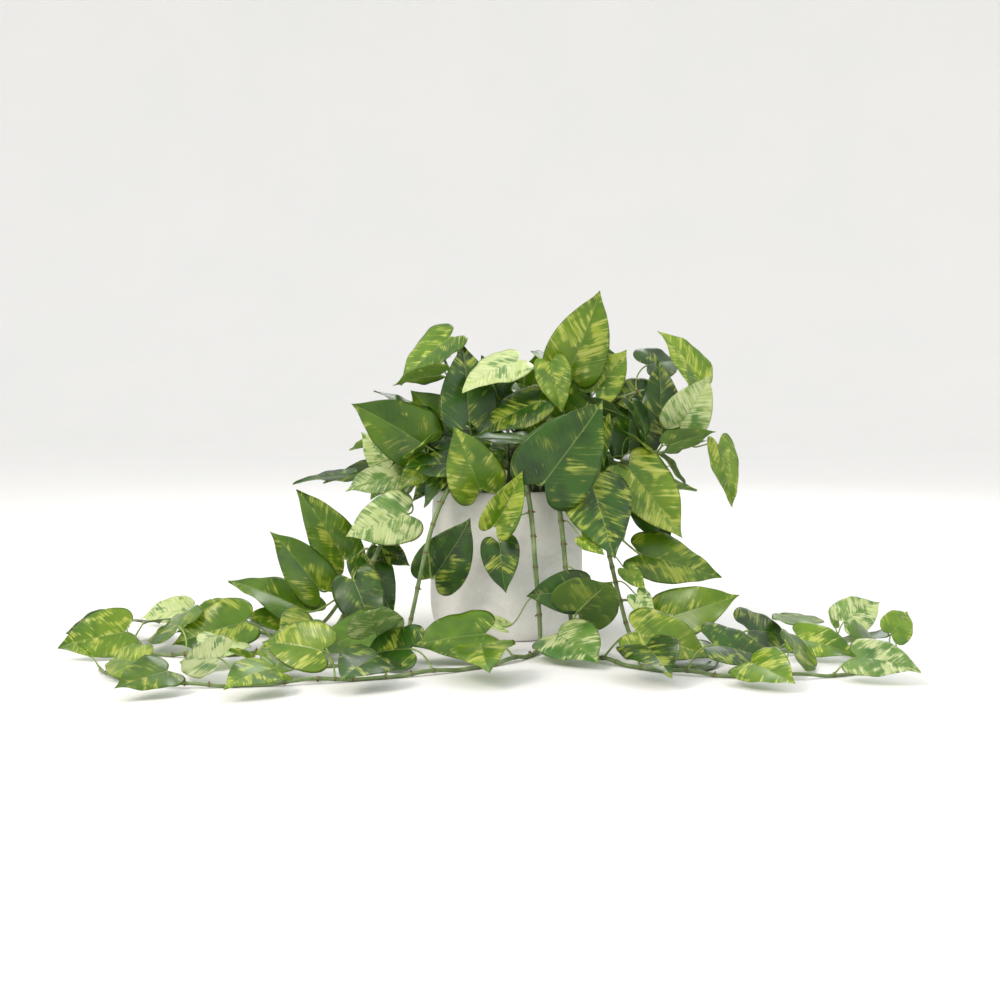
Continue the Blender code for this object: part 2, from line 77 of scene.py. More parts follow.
def addNode(tree, kind, settings=None, inputs=None):
    # settings are the node's own; an input is a value, or the socket or node that it is linked from
    made = tree.nodes.new(kind)
    for name, value in (settings or {}).items():
        if name == "stops":
            ramp = made.color_ramp.elements
            while len(ramp) < len(value):
                ramp.new(0.5)
            for stop, (place, code) in zip(ramp, value):
                stop.position = place
                stop.color = colour(code)
        else:
            setattr(made, name, value)
    for name, value in (inputs or {}).items():
        if isinstance(value, bpy.types.Node):
            value = value.outputs[0]
        if isinstance(value, bpy.types.NodeSocket):
            tree.links.new(value, made.inputs[name])
        else:
            made.inputs[name].default_value = value
    return made


def newMaterial(name):
    made = bpy.data.materials.new(name)
    made.use_nodes = True
    made.node_tree.nodes.clear()
    return made, made.node_tree


def addPiece(name, mesh, materials, smooth=True):
    piece = bpy.data.objects.new(name, mesh)
    scene.collection.objects.link(piece)
    for one in materials:
        mesh.materials.append(one)
    if smooth:
        mesh.shade_smooth()
    return piece


def keepPiece(piece, slot, *nodes):
    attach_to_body(piece, "root")
    if nodes:
        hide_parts(*nodes)


def camelName(name):
    first, *others = name.split("_")
    return first + "".join(part.capitalize() for part in others)


def loftFaces(rings, sides, startPole, endPole, first=0):
    # faces between closed rings of points, shut by a pole at each end
    faces = []
    for ring in range(rings - 1):
        for k in range(sides):
            a, b = first + ring * sides + k, first + ring * sides + (k + 1) % sides
            faces.append((b, a, a + sides, b + sides))
    last = first + (rings - 1) * sides
    for k in range(sides):
        faces.append((startPole, first + k, first + (k + 1) % sides))
        faces.append((last + (k + 1) % sides, last + k, endPole))
    return faces


def setAttribute(mesh, name, kind, values):
    made = mesh.attributes.new(name, kind, "POINT")
    field = "vector" if kind == "FLOAT_VECTOR" else "value"
    made.data.foreach_set(field, np.asarray(values, np.float32).ravel())


def smoothCurve(points, samples):
    # a curve through all the points, with this many samples to each span
    ends = [2 * points[0] - points[1], *points, 2 * points[-1] - points[-2]]
    curve = []
    for a, b, c, d in zip(ends, ends[1:], ends[2:], ends[3:]):
        for step in range(samples):
            t = step / samples
            bend = (2 * a - 5 * b + 4 * c - d) * t**2 + (3 * b - a - 3 * c + d) * t**3
            curve.append(0.5 * (2 * b + (c - a) * t + bend))
    return [*curve, points[-1]]


# Camera, lights and floor: a pale room with soft light

studio = {
    "lens": 54,  # mm
    "cameraPlace": (0.0, -1.86, 0.30),
    "cameraTarget": (-0.008, 0.0, 0.165),
    "floorRadius": 6.0,
    "coveRadius": 4.0,
    "wallHeight": 6.0,
    "roomSides": 96,
    "worldColour": "#f8f8f7",
    "worldStrength": 1.12,
    # place, size in metres, power in watts and colour of each soft light
    "lights": {
        "windowLight": ((-1.6, -1.5, 2.0), 1.2, 35, "#fff6ea"),
        "fillLight": ((1.9, -1.6, 1.1), 1.6, 6, "#eef4ff"),
        "backLight": ((0.6, 1.7, 1.9), 1.2, 16, "#ffffff"),
    },
    "lightsTarget": (0, 0, 0.15),
}


def aimAt(thing, target):
    thing.rotation_euler = (Vector(target) - thing.location).to_track_quat("-Z", "Y").to_euler()


def makeStudio():
    lens = bpy.data.cameras.new("camera")
    lens.lens = studio["lens"]
    camera = bpy.data.objects.new("camera", lens)
    camera.location = studio["cameraPlace"]
    aimAt(camera, studio["cameraTarget"])
    scene.collection.objects.link(camera)
    scene.camera = camera

    for name, (place, size, power, code) in studio["lights"].items():
        data = bpy.data.lights.new(name, "AREA")
        data.shape = "DISK"
        data.size = size
        data.energy = power
        data.color = colour(code)[:3]
        light = bpy.data.objects.new(name, data)
        light.location = place
        aimAt(light, studio["lightsTarget"])
        scene.collection.objects.link(light)

    world = bpy.data.worlds.new("paleRoom")
    world.use_nodes = True
    tree = world.node_tree
    tree.nodes.clear()
    glow = addNode(
        tree, "ShaderNodeBackground", {},
        {"Color": colour(studio["worldColour"]), "Strength": studio["worldStrength"]},
    )
    addNode(tree, "ShaderNodeOutputWorld", {}, {"Surface": glow})
    scene.world = world
    scene.view_settings.view_transform = "Standard"

    # matt painted screed, with cloudy trowel marks too faint to draw the eye
    paint, tree = newMaterial("paintedScreed")
    place = addNode(tree, "ShaderNodeTexCoord").outputs["Object"]
    clouds = addNode(tree, "ShaderNodeTexNoise", {}, {"Vector": place, "Scale": 1.5, "Detail": 3.0})
    tint = addNode(
        tree, "ShaderNodeValToRGB", {"stops": [(0.3, "#efefee"), (0.7, "#f2f1f0")]}, {"Fac": clouds}
    )
    shader = addNode(tree, "ShaderNodeBsdfPrincipled", {}, {"Base Color": tint, "Roughness": 0.9})
    addNode(tree, "ShaderNodeOutputMaterial", {}, {"Surface": shader})

    # the floor curves up into a pale wall all round, so it has no edge
    reach, rise, sides = studio["floorRadius"], studio["coveRadius"], studio["roomSides"]
    turns = [math.radians(90 * k / 12) for k in range(13)]
    profile = [(reach + rise * math.sin(a), rise * (1 - math.cos(a))) for a in turns]
    profile.append((reach + rise, studio["wallHeight"]))
    around = [math.tau * k / sides for k in range(sides)]
    corners = [(r * math.cos(a), r * math.sin(a), z) for r, z in profile for a in around]
    faces = [tuple(range(sides))]
    for ring in range(len(profile) - 1):
        for k in range(sides):
            a, b = ring * sides + k, ring * sides + (k + 1) % sides
            faces.append((b, a, a + sides, b + sides))
    floor = bpy.data.meshes.new("floor")
    floor.from_pydata(corners, [], faces)
    addPiece("floor", floor, [paint])


# The pot: a cast cement bowl, washed white

pot = {
    "height": 180 * mm,
    "footRadius": 77 * mm,
    "bellyRadius": 95 * mm,
    "bellyHeight": 50 * mm,
    "rimRadius": 91 * mm,
    "wall": 8 * mm,
    "floor": 14 * mm,
    "aroundSteps": 160,
    "handWobble": 0.35 * mm,  # how far the cast wall wanders from a true circle
}


def bowlSide(inset, floor, top, sideSteps, roundSteps):
    # (radius, height) down the bowl's side and round to its floor, this far inside its outer surface
    side = []
    belly, low = pot["bellyRadius"], pot["bellyHeight"]
    for step in range(sideSteps + 1):
        height = top + (low - top) * step / sideSteps
        rise = (height - low) / (pot["height"] - low)
        side.append((belly - (belly - pot["rimRadius"]) * rise**2 - inset, height))
    for step in range(1, roundSteps + 1):
        angle = math.pi / 2 * step / roundSteps
        radius = pot["footRadius"] + (belly - pot["footRadius"]) * math.cos(angle) - inset
        side.append((radius, low - (low - floor) * math.sin(angle)))
    return side


def turnedMesh(name, profile, steps, startPole, endPole, wobble=0):
    # the profile runs up the inside and down the outside, between two points on the axis
    points = []
    for radius, height in profile:
        for k in range(steps):
            angle = math.tau * k / steps
            place = Vector((radius * math.cos(angle), radius * math.sin(angle), height))
            drift = wobble * noise.noise(place * 22) if 4 * mm < height else 0
            points.append(place * (1 + drift / max(radius, 20 * mm)))
    points += [Vector((0, 0, startPole)), Vector((0, 0, endPole))]
    mesh = bpy.data.meshes.new(name)
    mesh.from_pydata(points, [], loftFaces(len(profile), steps, len(points) - 2, len(points) - 1))
    return mesh


cement = {
    "wash": ("#dedcd8", "#eeece8", "#f5f4f1"),  # thin, usual and thick lime wash over grey cement
    "cloudSize": 45 * mm,
    "grainSize": 1.6 * mm,  # sand grains are finer, and are drawn as coarse as shows
    "pitSpacing": 9 * mm,
    "pitRadius": 0.9 * mm,
}


def cementMaterial():
    # cement with a brushed lime wash: matt, chalky and cloudy, with a few small air holes from the cast
    made, tree = newMaterial("limeWashedCement")
    place = addNode(tree, "ShaderNodeTexCoord").outputs["Object"]
    clouds = addNode(
        tree, "ShaderNodeTexNoise", {},
        {"Vector": place, "Scale": 1 / cement["cloudSize"], "Detail": 6.0, "Roughness": 0.6,
         "Distortion": 0.4},
    )
    grain = addNode(
        tree, "ShaderNodeTexNoise", {}, {"Vector": place, "Scale": 1 / cement["grainSize"], "Detail": 3.0}
    )
    holes = addNode(
        tree, "ShaderNodeTexVoronoi", {},
        {"Vector": place, "Scale": 1 / cement["pitSpacing"], "Randomness": 1.0},
    )
    pitEdge = cement["pitRadius"] / cement["pitSpacing"]
    pits = addNode(
        tree, "ShaderNodeMapRange", {"interpolation_type": "SMOOTHSTEP"},
        {"Value": holes, "From Min": 0.4 * pitEdge, "From Max": pitEdge},
    )
    stops = list(zip((0.32, 0.5, 0.68), cement["wash"]))
    wash = addNode(tree, "ShaderNodeValToRGB", {"stops": stops}, {"Fac": clouds})
    speckle = addNode(
        tree, "ShaderNodeMapRange", {},
        {"Value": grain, "From Min": 0.3, "From Max": 0.7, "To Min": 0.94, "To Max": 1.03},
    )
    # painted shade: the colour is darkened inside each air hole, standing in for the shadow that falls there
    shade = addNode(tree, "ShaderNodeMapRange", {}, {"Value": pits, "To Min": 0.72, "To Max": 1.0})
    strength = addNode(tree, "ShaderNodeMath", {"operation": "MULTIPLY"}, {0: speckle, 1: shade})
    base = addNode(tree, "ShaderNodeVectorMath", {"operation": "SCALE"}, {0: wash, "Scale": strength})
    height = addNode(tree, "ShaderNodeMath", {"operation": "MULTIPLY_ADD"}, {0: grain, 1: 0.25, 2: pits})
    bump = addNode(tree, "ShaderNodeBump", {}, {"Height": height, "Strength": 0.5, "Distance": 0.4 * mm})
    shader = addNode(
        tree, "ShaderNodeBsdfPrincipled", {},
        {"Base Color": base, "Roughness": 0.86, "Specular IOR Level": 0.35, "Normal": bump},
    )
    addNode(tree, "ShaderNodeOutputMaterial", {}, {"Surface": shader})
    return made


def makePot():
    lipHeight = pot["height"] - pot["wall"] / 2
    inside = bowlSide(pot["wall"], pot["floor"], lipHeight, 12, 16)[::-1]
    outside = bowlSide(0, 0, lipHeight, 14, 20)
    middle = (inside[-1][0] + outside[0][0]) / 2
    lipRadius = pot["wall"] / 2
    turns = [math.pi * (1 - step / 10) for step in range(1, 10)]
    lip = [(middle + lipRadius * math.cos(a), lipHeight + lipRadius * math.sin(a)) for a in turns]
    flat = [(pot["footRadius"] * part, 0) for part in (0.8, 0.4)]
    mesh = turnedMesh(
        "pot", [*inside, *lip, *outside, *flat], pot["aroundSteps"], pot["floor"], 0, pot["handWobble"]
    )
    keepPiece(addPiece("cementPot", mesh, [cementMaterial()]), "white_washed_cement", "pot")
    print("pot done")


# The soil: a crumbly dome, strewn with bark and perlite

soil = {
    "edgeHeight": 156 * mm,
    "crown": 4 * mm,
    "lumps": 1.6 * mm,  # how far the surface rises and falls
    "crumbs": {
        # radius, spacing and how far each is sunk, in mm, then its colours
        "bark": (3.0, 7.5, 0.6, "#3b2a1e", "#6b4a30"),
        "peat": (1.7, 3.6, 0.5, "#1d1612", "#35281e"),
        "perlite": (1.6, 11.0, 0.3, "#cfcabf", "#f1eee6"),
    },
}


def earthMaterial(name, dark, light, grain):
    # damp peat, bark or perlite: broken, open-pored and matt
    made, tree = newMaterial(name)
    place = addNode(tree, "ShaderNodeTexCoord").outputs["Object"]
    flakes = addNode(
        tree, "ShaderNodeTexNoise", {}, {"Vector": place, "Scale": 1 / grain, "Detail": 4.0, "Roughness": 0.7}
    )
    tint = addNode(tree, "ShaderNodeValToRGB", {"stops": [(0.35, dark), (0.65, light)]}, {"Fac": flakes})
    bump = addNode(tree, "ShaderNodeBump", {}, {"Height": flakes, "Strength": 0.8, "Distance": 0.5 * mm})
    shader = addNode(
        tree, "ShaderNodeBsdfPrincipled", {}, {"Base Color": tint, "Roughness": 0.95, "Normal": bump}
    )
    addNode(tree, "ShaderNodeOutputMaterial", {}, {"Surface": shader})
    return made


def treeWithInputs(name, inputs):
    # a Geometry Nodes tree with a named input for each size, and the identifier of each input
    tree = bpy.data.node_groups.new(name, "GeometryNodeTree")
    tree.interface.new_socket("Geometry", in_out="INPUT", socket_type="NodeSocketGeometry")
    tree.interface.new_socket("Geometry", in_out="OUTPUT", socket_type="NodeSocketGeometry")
    identifiers = {}
    for title, kind in inputs.items():
        socket = tree.interface.new_socket(title, in_out="INPUT", socket_type="NodeSocket" + kind)
        identifiers[title] = socket.identifier
    return tree, identifiers, tree.nodes.new("NodeGroupInput"), tree.nodes.new("NodeGroupOutput")


def finishTree(tree, geometry, finish, result, lowest=None):
    # ends a tree: its instances become real, stay above the lowest height, and take the material
    last = addNode(tree, "GeometryNodeRealizeInstances", {}, {"Geometry": geometry})
    if lowest is not None:
        where = addNode(tree, "GeometryNodeInputPosition")
        raised = addNode(
            tree, "ShaderNodeVectorMath", {"operation": "MAXIMUM"}, {0: where, 1: (-9.0, -9.0, lowest)}
        )
        last = addNode(tree, "GeometryNodeSetPosition", {}, {"Geometry": last, "Position": raised})
    last = addNode(tree, "GeometryNodeSetMaterial", {}, {"Geometry": last, "Material": finish})
    tree.links.new(last.outputs[0], result.inputs[0])


def grownMesh(name, seedMesh, tree, identifiers, values):
    # what the tree makes from the seed mesh, as a plain mesh
    holder = bpy.data.objects.new(name, seedMesh)
    scene.collection.objects.link(holder)
    modifier = holder.modifiers.new(tree.name, "NODES")
    modifier.node_group = tree
    for title, value in values.items():
        modifier[identifiers[title]] = value
    graph = bpy.context.evaluated_depsgraph_get()
    mesh = bpy.data.meshes.new_from_object(holder.evaluated_get(graph), depsgraph=graph)
    holder.modifiers.remove(modifier)
    bpy.data.objects.remove(holder)
    mesh.name = name
    return mesh


def crumbTree():
    tree, identifiers, given, result = treeWithInputs(
        "soilCrumbs",
        {"Radius": "Float", "Spacing": "Float", "Sink": "Float", "Seed": "Int", "Finish": "Material"},
    )
    wanted = given.outputs
    spread = addNode(
        tree, "GeometryNodeDistributePointsOnFaces", {"distribute_method": "POISSON"},
        {"Mesh": wanted["Geometry"], "Distance Min": wanted["Spacing"], "Density Max": 60000.0,
         "Seed": wanted["Seed"]},
    )
    lump = addNode(tree, "GeometryNodeMeshIcoSphere", {}, {"Radius": wanted["Radius"], "Subdivisions": 1})
    stretch, turn = (
        addNode(
            tree, "FunctionNodeRandomValue", {"data_type": "FLOAT_VECTOR"},
            {"Min": low, "Max": high, "Seed": wanted["Seed"]},
        ).outputs["Value"]
        for low, high in (
            ((0.55, 0.55, 0.3), (1.45, 1.0, 0.8)),
            ((-0.5, -0.5, 0), (0.5, 0.5, math.tau)),
        )
    )
    copies = addNode(
        tree, "GeometryNodeInstanceOnPoints", {},
        {"Points": spread, "Instance": lump, "Rotation": turn, "Scale": stretch},
    )
    sunk = addNode(tree, "ShaderNodeMath", {"operation": "MULTIPLY"}, {0: wanted["Sink"], 1: -1.0})
    down = addNode(tree, "ShaderNodeCombineXYZ", {}, {"Z": sunk})
    placed = addNode(
        tree, "GeometryNodeTranslateInstances", {},
        {"Instances": copies, "Translation": down, "Local Space": False},
    )
    finishTree(tree, placed, wanted["Finish"], result)
    return tree, identifiers


def makeSoil():
    side = bowlSide(pot["wall"] + gap, pot["floor"] + gap, soil["edgeHeight"], 6, 8)
    edge = side[0][0]

    def topHeight(x, y):
        part = math.hypot(x, y) / edge
        lump = noise.noise(Vector((x, y, 0)) * 60) + 0.5 * noise.noise(Vector((x, y, 5 * mm)) * 190)
        return soil["edgeHeight"] + soil["crown"] * (1 - part**2) + soil["lumps"] * lump * (1 - part**6)

    steps, rings = 96, 22
    mesh = turnedMesh(
        "soil", [*((edge * (k + 1) / rings, 0) for k in range(rings)), *side[1:]], steps,
        topHeight(0, 0), pot["floor"] + gap,
    )
    for point in mesh.vertices[: steps * rings]:
        point.co.z = topHeight(point.co.x, point.co.y)
    ground = earthMaterial("dampPeat", "#17110d", "#33271d", 1.5 * mm)
    keepPiece(addPiece("pottingSoil", mesh, [ground]), "potting_soil", "soil")

    # crumbs lie on the top only, a little in from the wall
    top = bpy.data.meshes.new("soilTop")
    inner = 0.95
    spots = [mesh.vertices[k].co.copy() for k in range(steps * (rings - 1))]
    spots.append(Vector((0, 0, topHeight(0, 0))))
    spots = [Vector((p.x * inner, p.y * inner, p.z)) for p in spots]
    faces = []
    for ring in range(rings - 2):
        for k in range(steps):
            a, b = ring * steps + k, ring * steps + (k + 1) % steps
            faces.append((a, a + steps, b + steps, b))
    faces += [(len(spots) - 1, k, (k + 1) % steps) for k in range(steps)]
    top.from_pydata(spots, [], faces)
    tree, identifiers = crumbTree()
    for number, (kind, (radius, spacing, sink, dark, light)) in enumerate(soil["crumbs"].items()):
        finish = earthMaterial(kind, dark, light, 1.2 * mm)
        values = {"Radius": radius * mm, "Spacing": spacing * mm, "Sink": sink * mm, "Seed": number + 1}
        crumbs = grownMesh(kind, top.copy(), tree, identifiers, {**values, "Finish": finish})
        keepPiece(addPiece(kind + "Crumbs", crumbs, [], smooth=False), "potting_soil")
    print("soil done")


# The stems

stems = {
    "socketDepth": 14 * mm,
    "vineRadii": (3.2 * mm, 1.6 * mm),  # at the soil and at the growing tip
    "shootRadii": (2.9 * mm, 1.5 * mm),
    "fineStep": 2.6 * mm,  # between the fine mesh's rings
    "sides": 14,
    "nodeSpacing": 34 * mm,
    "nodeSwelling": 0.24,  # of the radius
    "nodeWidth": 2.4 * mm,
}

vines = {
    "vine_left_outer": [
        (-38, 8, 160), (-46, 6, 195), (-72, 0, 216), (-108, -12, 192), (-140, -24, 150), (-168, -34, 104),
        (-195, -42, 58), (-224, -48, 18), (-262, -50, 0), (-305, -38, 5), (-345, -12, 0), (-378, 24, 5),
        (-398, 68, 0),
    ],
    "vine_left_inner": [
        (-42, -14, 160), (-52, -20, 196), (-78, -36, 214), (-110, -56, 192), (-135, -72, 150),
        (-158, -84, 100), (-184, -94, 50), (-210, -104, 12), (-240, -122, 0), (-272, -156, 5),
        (-310, -180, 0), (-355, -188, 5), (-398, -176, 0), (-432, -148, 5), (-450, -108, 0), (-452, -66, 0),
    ],
    "vine_front_left": [
        (-22, -36, 160), (-27, -52, 193), (-44, -80, 205), (-66, -106, 188), (-84, -124, 150),
        (-97, -136, 100), (-107, -144, 52), (-116, -156, 14), (-126, -182, 0), (-146, -216, 6),
        (-182, -244, 0), (-226, -262, 6), (-268, -284, 0),
    ],
    "vine_front_middle": [
        (8, -40, 160), (10, -60, 194), (16, -86, 204), (24, -110, 186), (30, -126, 145), (34, -136, 92),
        (38, -142, 42), (38, -152, 10), (30, -178, 0), (8, -216, 6), (-30, -256, 0), (-80, -290, 5),
        (-138, -318, 0), (-200, -340, 6), (-262, -356, 0), (-322, -360, 5), (-376, -344, 0),
        (-416, -310, 5), (-438, -264, 0),
    ],
    "vine_front_right": [
        (32, -32, 160), (38, -50, 194), (48, -78, 206), (58, -104, 186), (64, -122, 145), (69, -134, 92),
        (74, -142, 42), (78, -154, 10), (88, -182, 0), (110, -222, 6), (146, -260, 0), (192, -290, 5),
        (246, -308, 0), (302, -312, 6), (354, -296, 0), (398, -264, 5), (428, -220, 0), (440, -172, 0),
    ],
    "vine_right": [
        (46, -10, 160), (56, -18, 194), (76, -36, 210), (98, -58, 188), (113, -76, 148), (124, -92, 98),
        (135, -106, 50), (147, -120, 12), (168, -140, 0), (208, -166, 6), (256, -182, 0), (306, -176, 6),
        (350, -150, 0), (384, -112, 5), (404, -66, 0),
    ],
}

shoots = {
    "shoot_top_left": [
        (-18, -8, 160), (-22, -8, 200), (-32, -8, 245), (-50, -6, 285), (-68, -2, 320), (-80, 4, 346),
    ],
    "shoot_top_middle": [
        (4, -14, 160), (8, -14, 205), (18, -12, 250), (34, -8, 288), (52, -4, 316), (66, 2, 336),
    ],
    "shoot_top_right": [
        (24, -4, 160), (32, -4, 200), (56, -4, 240), (92, -4, 268), (130, -4, 288), (166, -2, 300),
        (196, 2, 306),
    ],
    "shoot_right": [
        (44, 12, 160), (52, 10, 192), (78, 4, 212), (112, -8, 214), (150, -22, 212), (186, -32, 224),
        (218, -38, 236), (242, -40, 240),
    ],
    "shoot_back_left": [
        (-22, 14, 160), (-28, 22, 198), (-48, 46, 222), (-78, 78, 226), (-108, 108, 204), (-132, 132, 166),
        (-146, 148, 122),
    ],
    "shoot_back_middle": [
        (2, 8, 160), (4, 22, 200), (8, 54, 232), (12, 88, 238), (14, 118, 216), (14, 138, 172),
        (12, 148, 122), (8, 152, 76),
    ],
    "shoot_back_right": [
        (22, 14, 160), (30, 24, 200), (56, 52, 226), (90, 82, 228), (122, 108, 206), (146, 126, 168),
        (160, 136, 126),
    ],
}


def stemPath(route, radii, samples):
    # (point, radius) along a stem, from its foot in the soil to its growing tip
    points = smoothCurve([Vector(p) * mm for p in route], samples)
    points.insert(0, points[0] - Vector((0, 0, stems["socketDepth"])))
    path = []
    for index, point in enumerate(points):
        radius = radii[0] + (radii[1] - radii[0]) * index / (len(points) - 1)
        path.append((Vector((point.x, point.y, max(point.z, radius + gap))), radius))
    return path


def lengthsAlong(path):
    run = [0]
    for (a, _), (b, _) in zip(path, path[1:]):
        run.append(run[-1] + (b - a).length)
    return run


def atLength(path, length):
    # the point, the direction and the radius of a stem at this length from its foot
    run = lengthsAlong(path)
    length = min(max(length, 0.01 * mm), run[-1] - 0.01 * mm)
    index = next(i for i in range(1, len(run)) if run[i] >= length)
    (a, radiusA), (b, radiusB) = path[index - 1], path[index]
    t = (length - run[index - 1]) / (run[index] - run[index - 1])
    return a.lerp(b, t), (b - a).normalized(), radiusA + (radiusB - radiusA) * t


def nearestLength(path, place):
    # the length along a stem at which it comes nearest to a place
    run = lengthsAlong(path)
    best = (math.inf, 0)
    for index, ((a, _), (b, _)) in enumerate(zip(path, path[1:])):
        along = b - a
        t = min(max((place - a).dot(along) / along.length_squared, 0), 1)
        best = min(best, ((a + along * t - place).length, run[index] + along.length * t))
    return best[1]


# The leaves

leaves = {
    "stalkRadius": 1.3 * mm,
    "blade": 0.25 * mm,  # half the fine blade's thickness
    "plainBlade": 0.8 * mm,  # half the plain solid's
    "bladeFloor": 1.9 * mm,
    "ducks": (0.4, 0.9),
    "clearance": 2.2 * mm,
    "midribSoftness": 0.02,
    "veins": 11,  # to each side of the midrib
    "veinLean": 0.62,  # how steeply they run forward
    "quilting": 0.0011,  # of the length, how far the blade swells between veins
    "ripple": 0.016,  # of the length, at the margin
    "tipHook": 0.03,  # of the length, how far the tip turns to one side
    "midribGroove": 0.28 * mm,
    "rows": (16, 28),  # rows of the fine mesh over the lobes, and from there to the tip
    "columns": 24,
    "stalkSides": 12,
}

# A leaf's outline, row by row: where the row meets the midrib, and its end's place along and across,
# all as fractions of the blade's length
outline = np.array([
    (0.00, 0.000, 0.000), (0.02, -0.100, 0.095), (0.05, -0.165, 0.190), (0.09, -0.155, 0.310),
    (0.14, -0.070, 0.405), (0.22, 0.085, 0.455), (0.36, 0.300, 0.440), (0.55, 0.530, 0.350),
    (0.74, 0.740, 0.210), (0.89, 0.885, 0.080), (1.00, 1.000, 0.000),
])
lastRow = len(outline) - 1
plainRows = (1.5, 3, 4.2, 5.6, 7, 8.5)  # the rows that the plain solid keeps

# The crown's outer leaves: the stem, the blade's base and tip, the way its face looks, its width,
# how far it bends back and how far it folds (degrees), and its tone
crownLeaves = [
    ("shoot_top_middle", (79, -8, 327), (116, -14, 422), (0.05, -1, 0.1), 0.85, 16, 14, "lime"),
    ("shoot_top_middle", (12, -22, 336), (-54, -44, 298), (-0.35, -0.6, 0.7), 1.0, 34, 8, "cream"),
    ("shoot_top_left", (-70, 14, 366), (-132, 4, 308), (-0.5, -0.7, 0.5), 0.85, 22, 12, "green"),
    ("shoot_top_left", (-50, -30, 256), (-76, -26, 350), (0.1, -1, 0.15), 0.85, 12, 18, "deep"),
    ("vine_left_outer", (-102, -34, 236), (-187, -40, 286), (-0.1, -0.9, 0.4), 0.9, 14, 12, "green"),
    ("vine_front_middle", (44, -134, 196), (112, -138, 288), (0.1, -1, 0.2), 0.95, 16, 12, "deep"),
    ("vine_front_left", (-36, -104, 186), (-68, -114, 260), (-0.2, -1, 0.25), 0.95, 20, 14, "lime"),
    ("vine_front_middle", (-12, -130, 146), (20, -140, 208), (0.1, -1, 0.1), 0.85, 10, 38, "lime"),
    ("shoot_right", (192, -26, 240), (192, -14, 340), (-0.45, -0.9, 0.1), 0.68, 12, 14, "deep"),
    ("shoot_top_right", (238, 0, 312), (186, -8, 374), (0.3, -0.7, 0.6), 0.8, 30, 16, "lime"),
    ("shoot_right", (210, -42, 258), (246, -50, 318), (0.1, -1, 0.2), 0.95, 14, 16, "cream"),
    ("shoot_right", (257, -42, 236), (276, -48, 162), (0.5, -0.85, 0.1), 0.62, 16, 18, "lime"),
    ("shoot_right", (147, -64, 206), (208, -92, 126), (0.15, -0.95, 0.3), 0.85, 18, 14, "lime"),
    ("vine_front_right", (98, -118, 190), (118, -154, 108), (0.05, -0.9, 0.45), 1.0, 20, 10, "deep"),
    ("vine_right", (160, -84, 106), (254, -96, 78), (0.1, -0.8, 0.6), 0.78, 18, 12, "green"),
    ("vine_right", (188, -112, 36), (272, -122, 68), (0.1, -0.85, 0.5), 0.8, 20, 12, "lime"),
    ("vine_left_outer", (-200, -34, 98), (-254, -38, 182), (0.35, -0.9, 0.2), 0.68, 14, 16, "green"),
    ("vine_left_outer", (-226, -62, 62), (-282, -70, 134), (0.3, -0.9, 0.25), 0.72, 16, 14, "green"),
    ("vine_left_outer", (-234, -80, 36), (-328, -92, 74), (0.1, -0.5, 0.85), 0.75, 18, 12, "green"),
    ("vine_left_inner", (-118, -84, 154), (-190, -100, 130), (-0.1, -0.9, 0.4), 1.0, 16, 8, "cream"),
    ("vine_front_left", (-84, -116, 84), (-40, -124, 152), (0.15, -1, 0.1), 0.9, 14, 12, "deep"),
    ("vine_front_middle", (-8, -118, 122), (-2, -132, 66), (-0.1, -1, 0.1), 0.9, 14, 16, "deep"),
    ("shoot_back_left", (-130, 152, 196), (-186, 204, 150), (-0.5, 0.7, 0.5), 0.9, 20, 12, "green"),
    ("shoot_back_middle", (34, 150, 204), (44, 226, 152), (0, 0.8, 0.6), 0.95, 22, 12, "deep"),
    ("shoot_back_right", (152, 140, 204), (214, 178, 150), (0.6, 0.6, 0.5), 0.9, 20, 12, "lime"),
    ("shoot_back_middle", (-34, 84, 266), (-66, 150, 306), (-0.2, 0.5, 0.85), 0.9, 20, 14, "green"),
    ("shoot_back_right", (76, 66, 262), (112, 118, 316), (0.3, 0.5, 0.8), 0.85, 20, 14, "deep"),
]

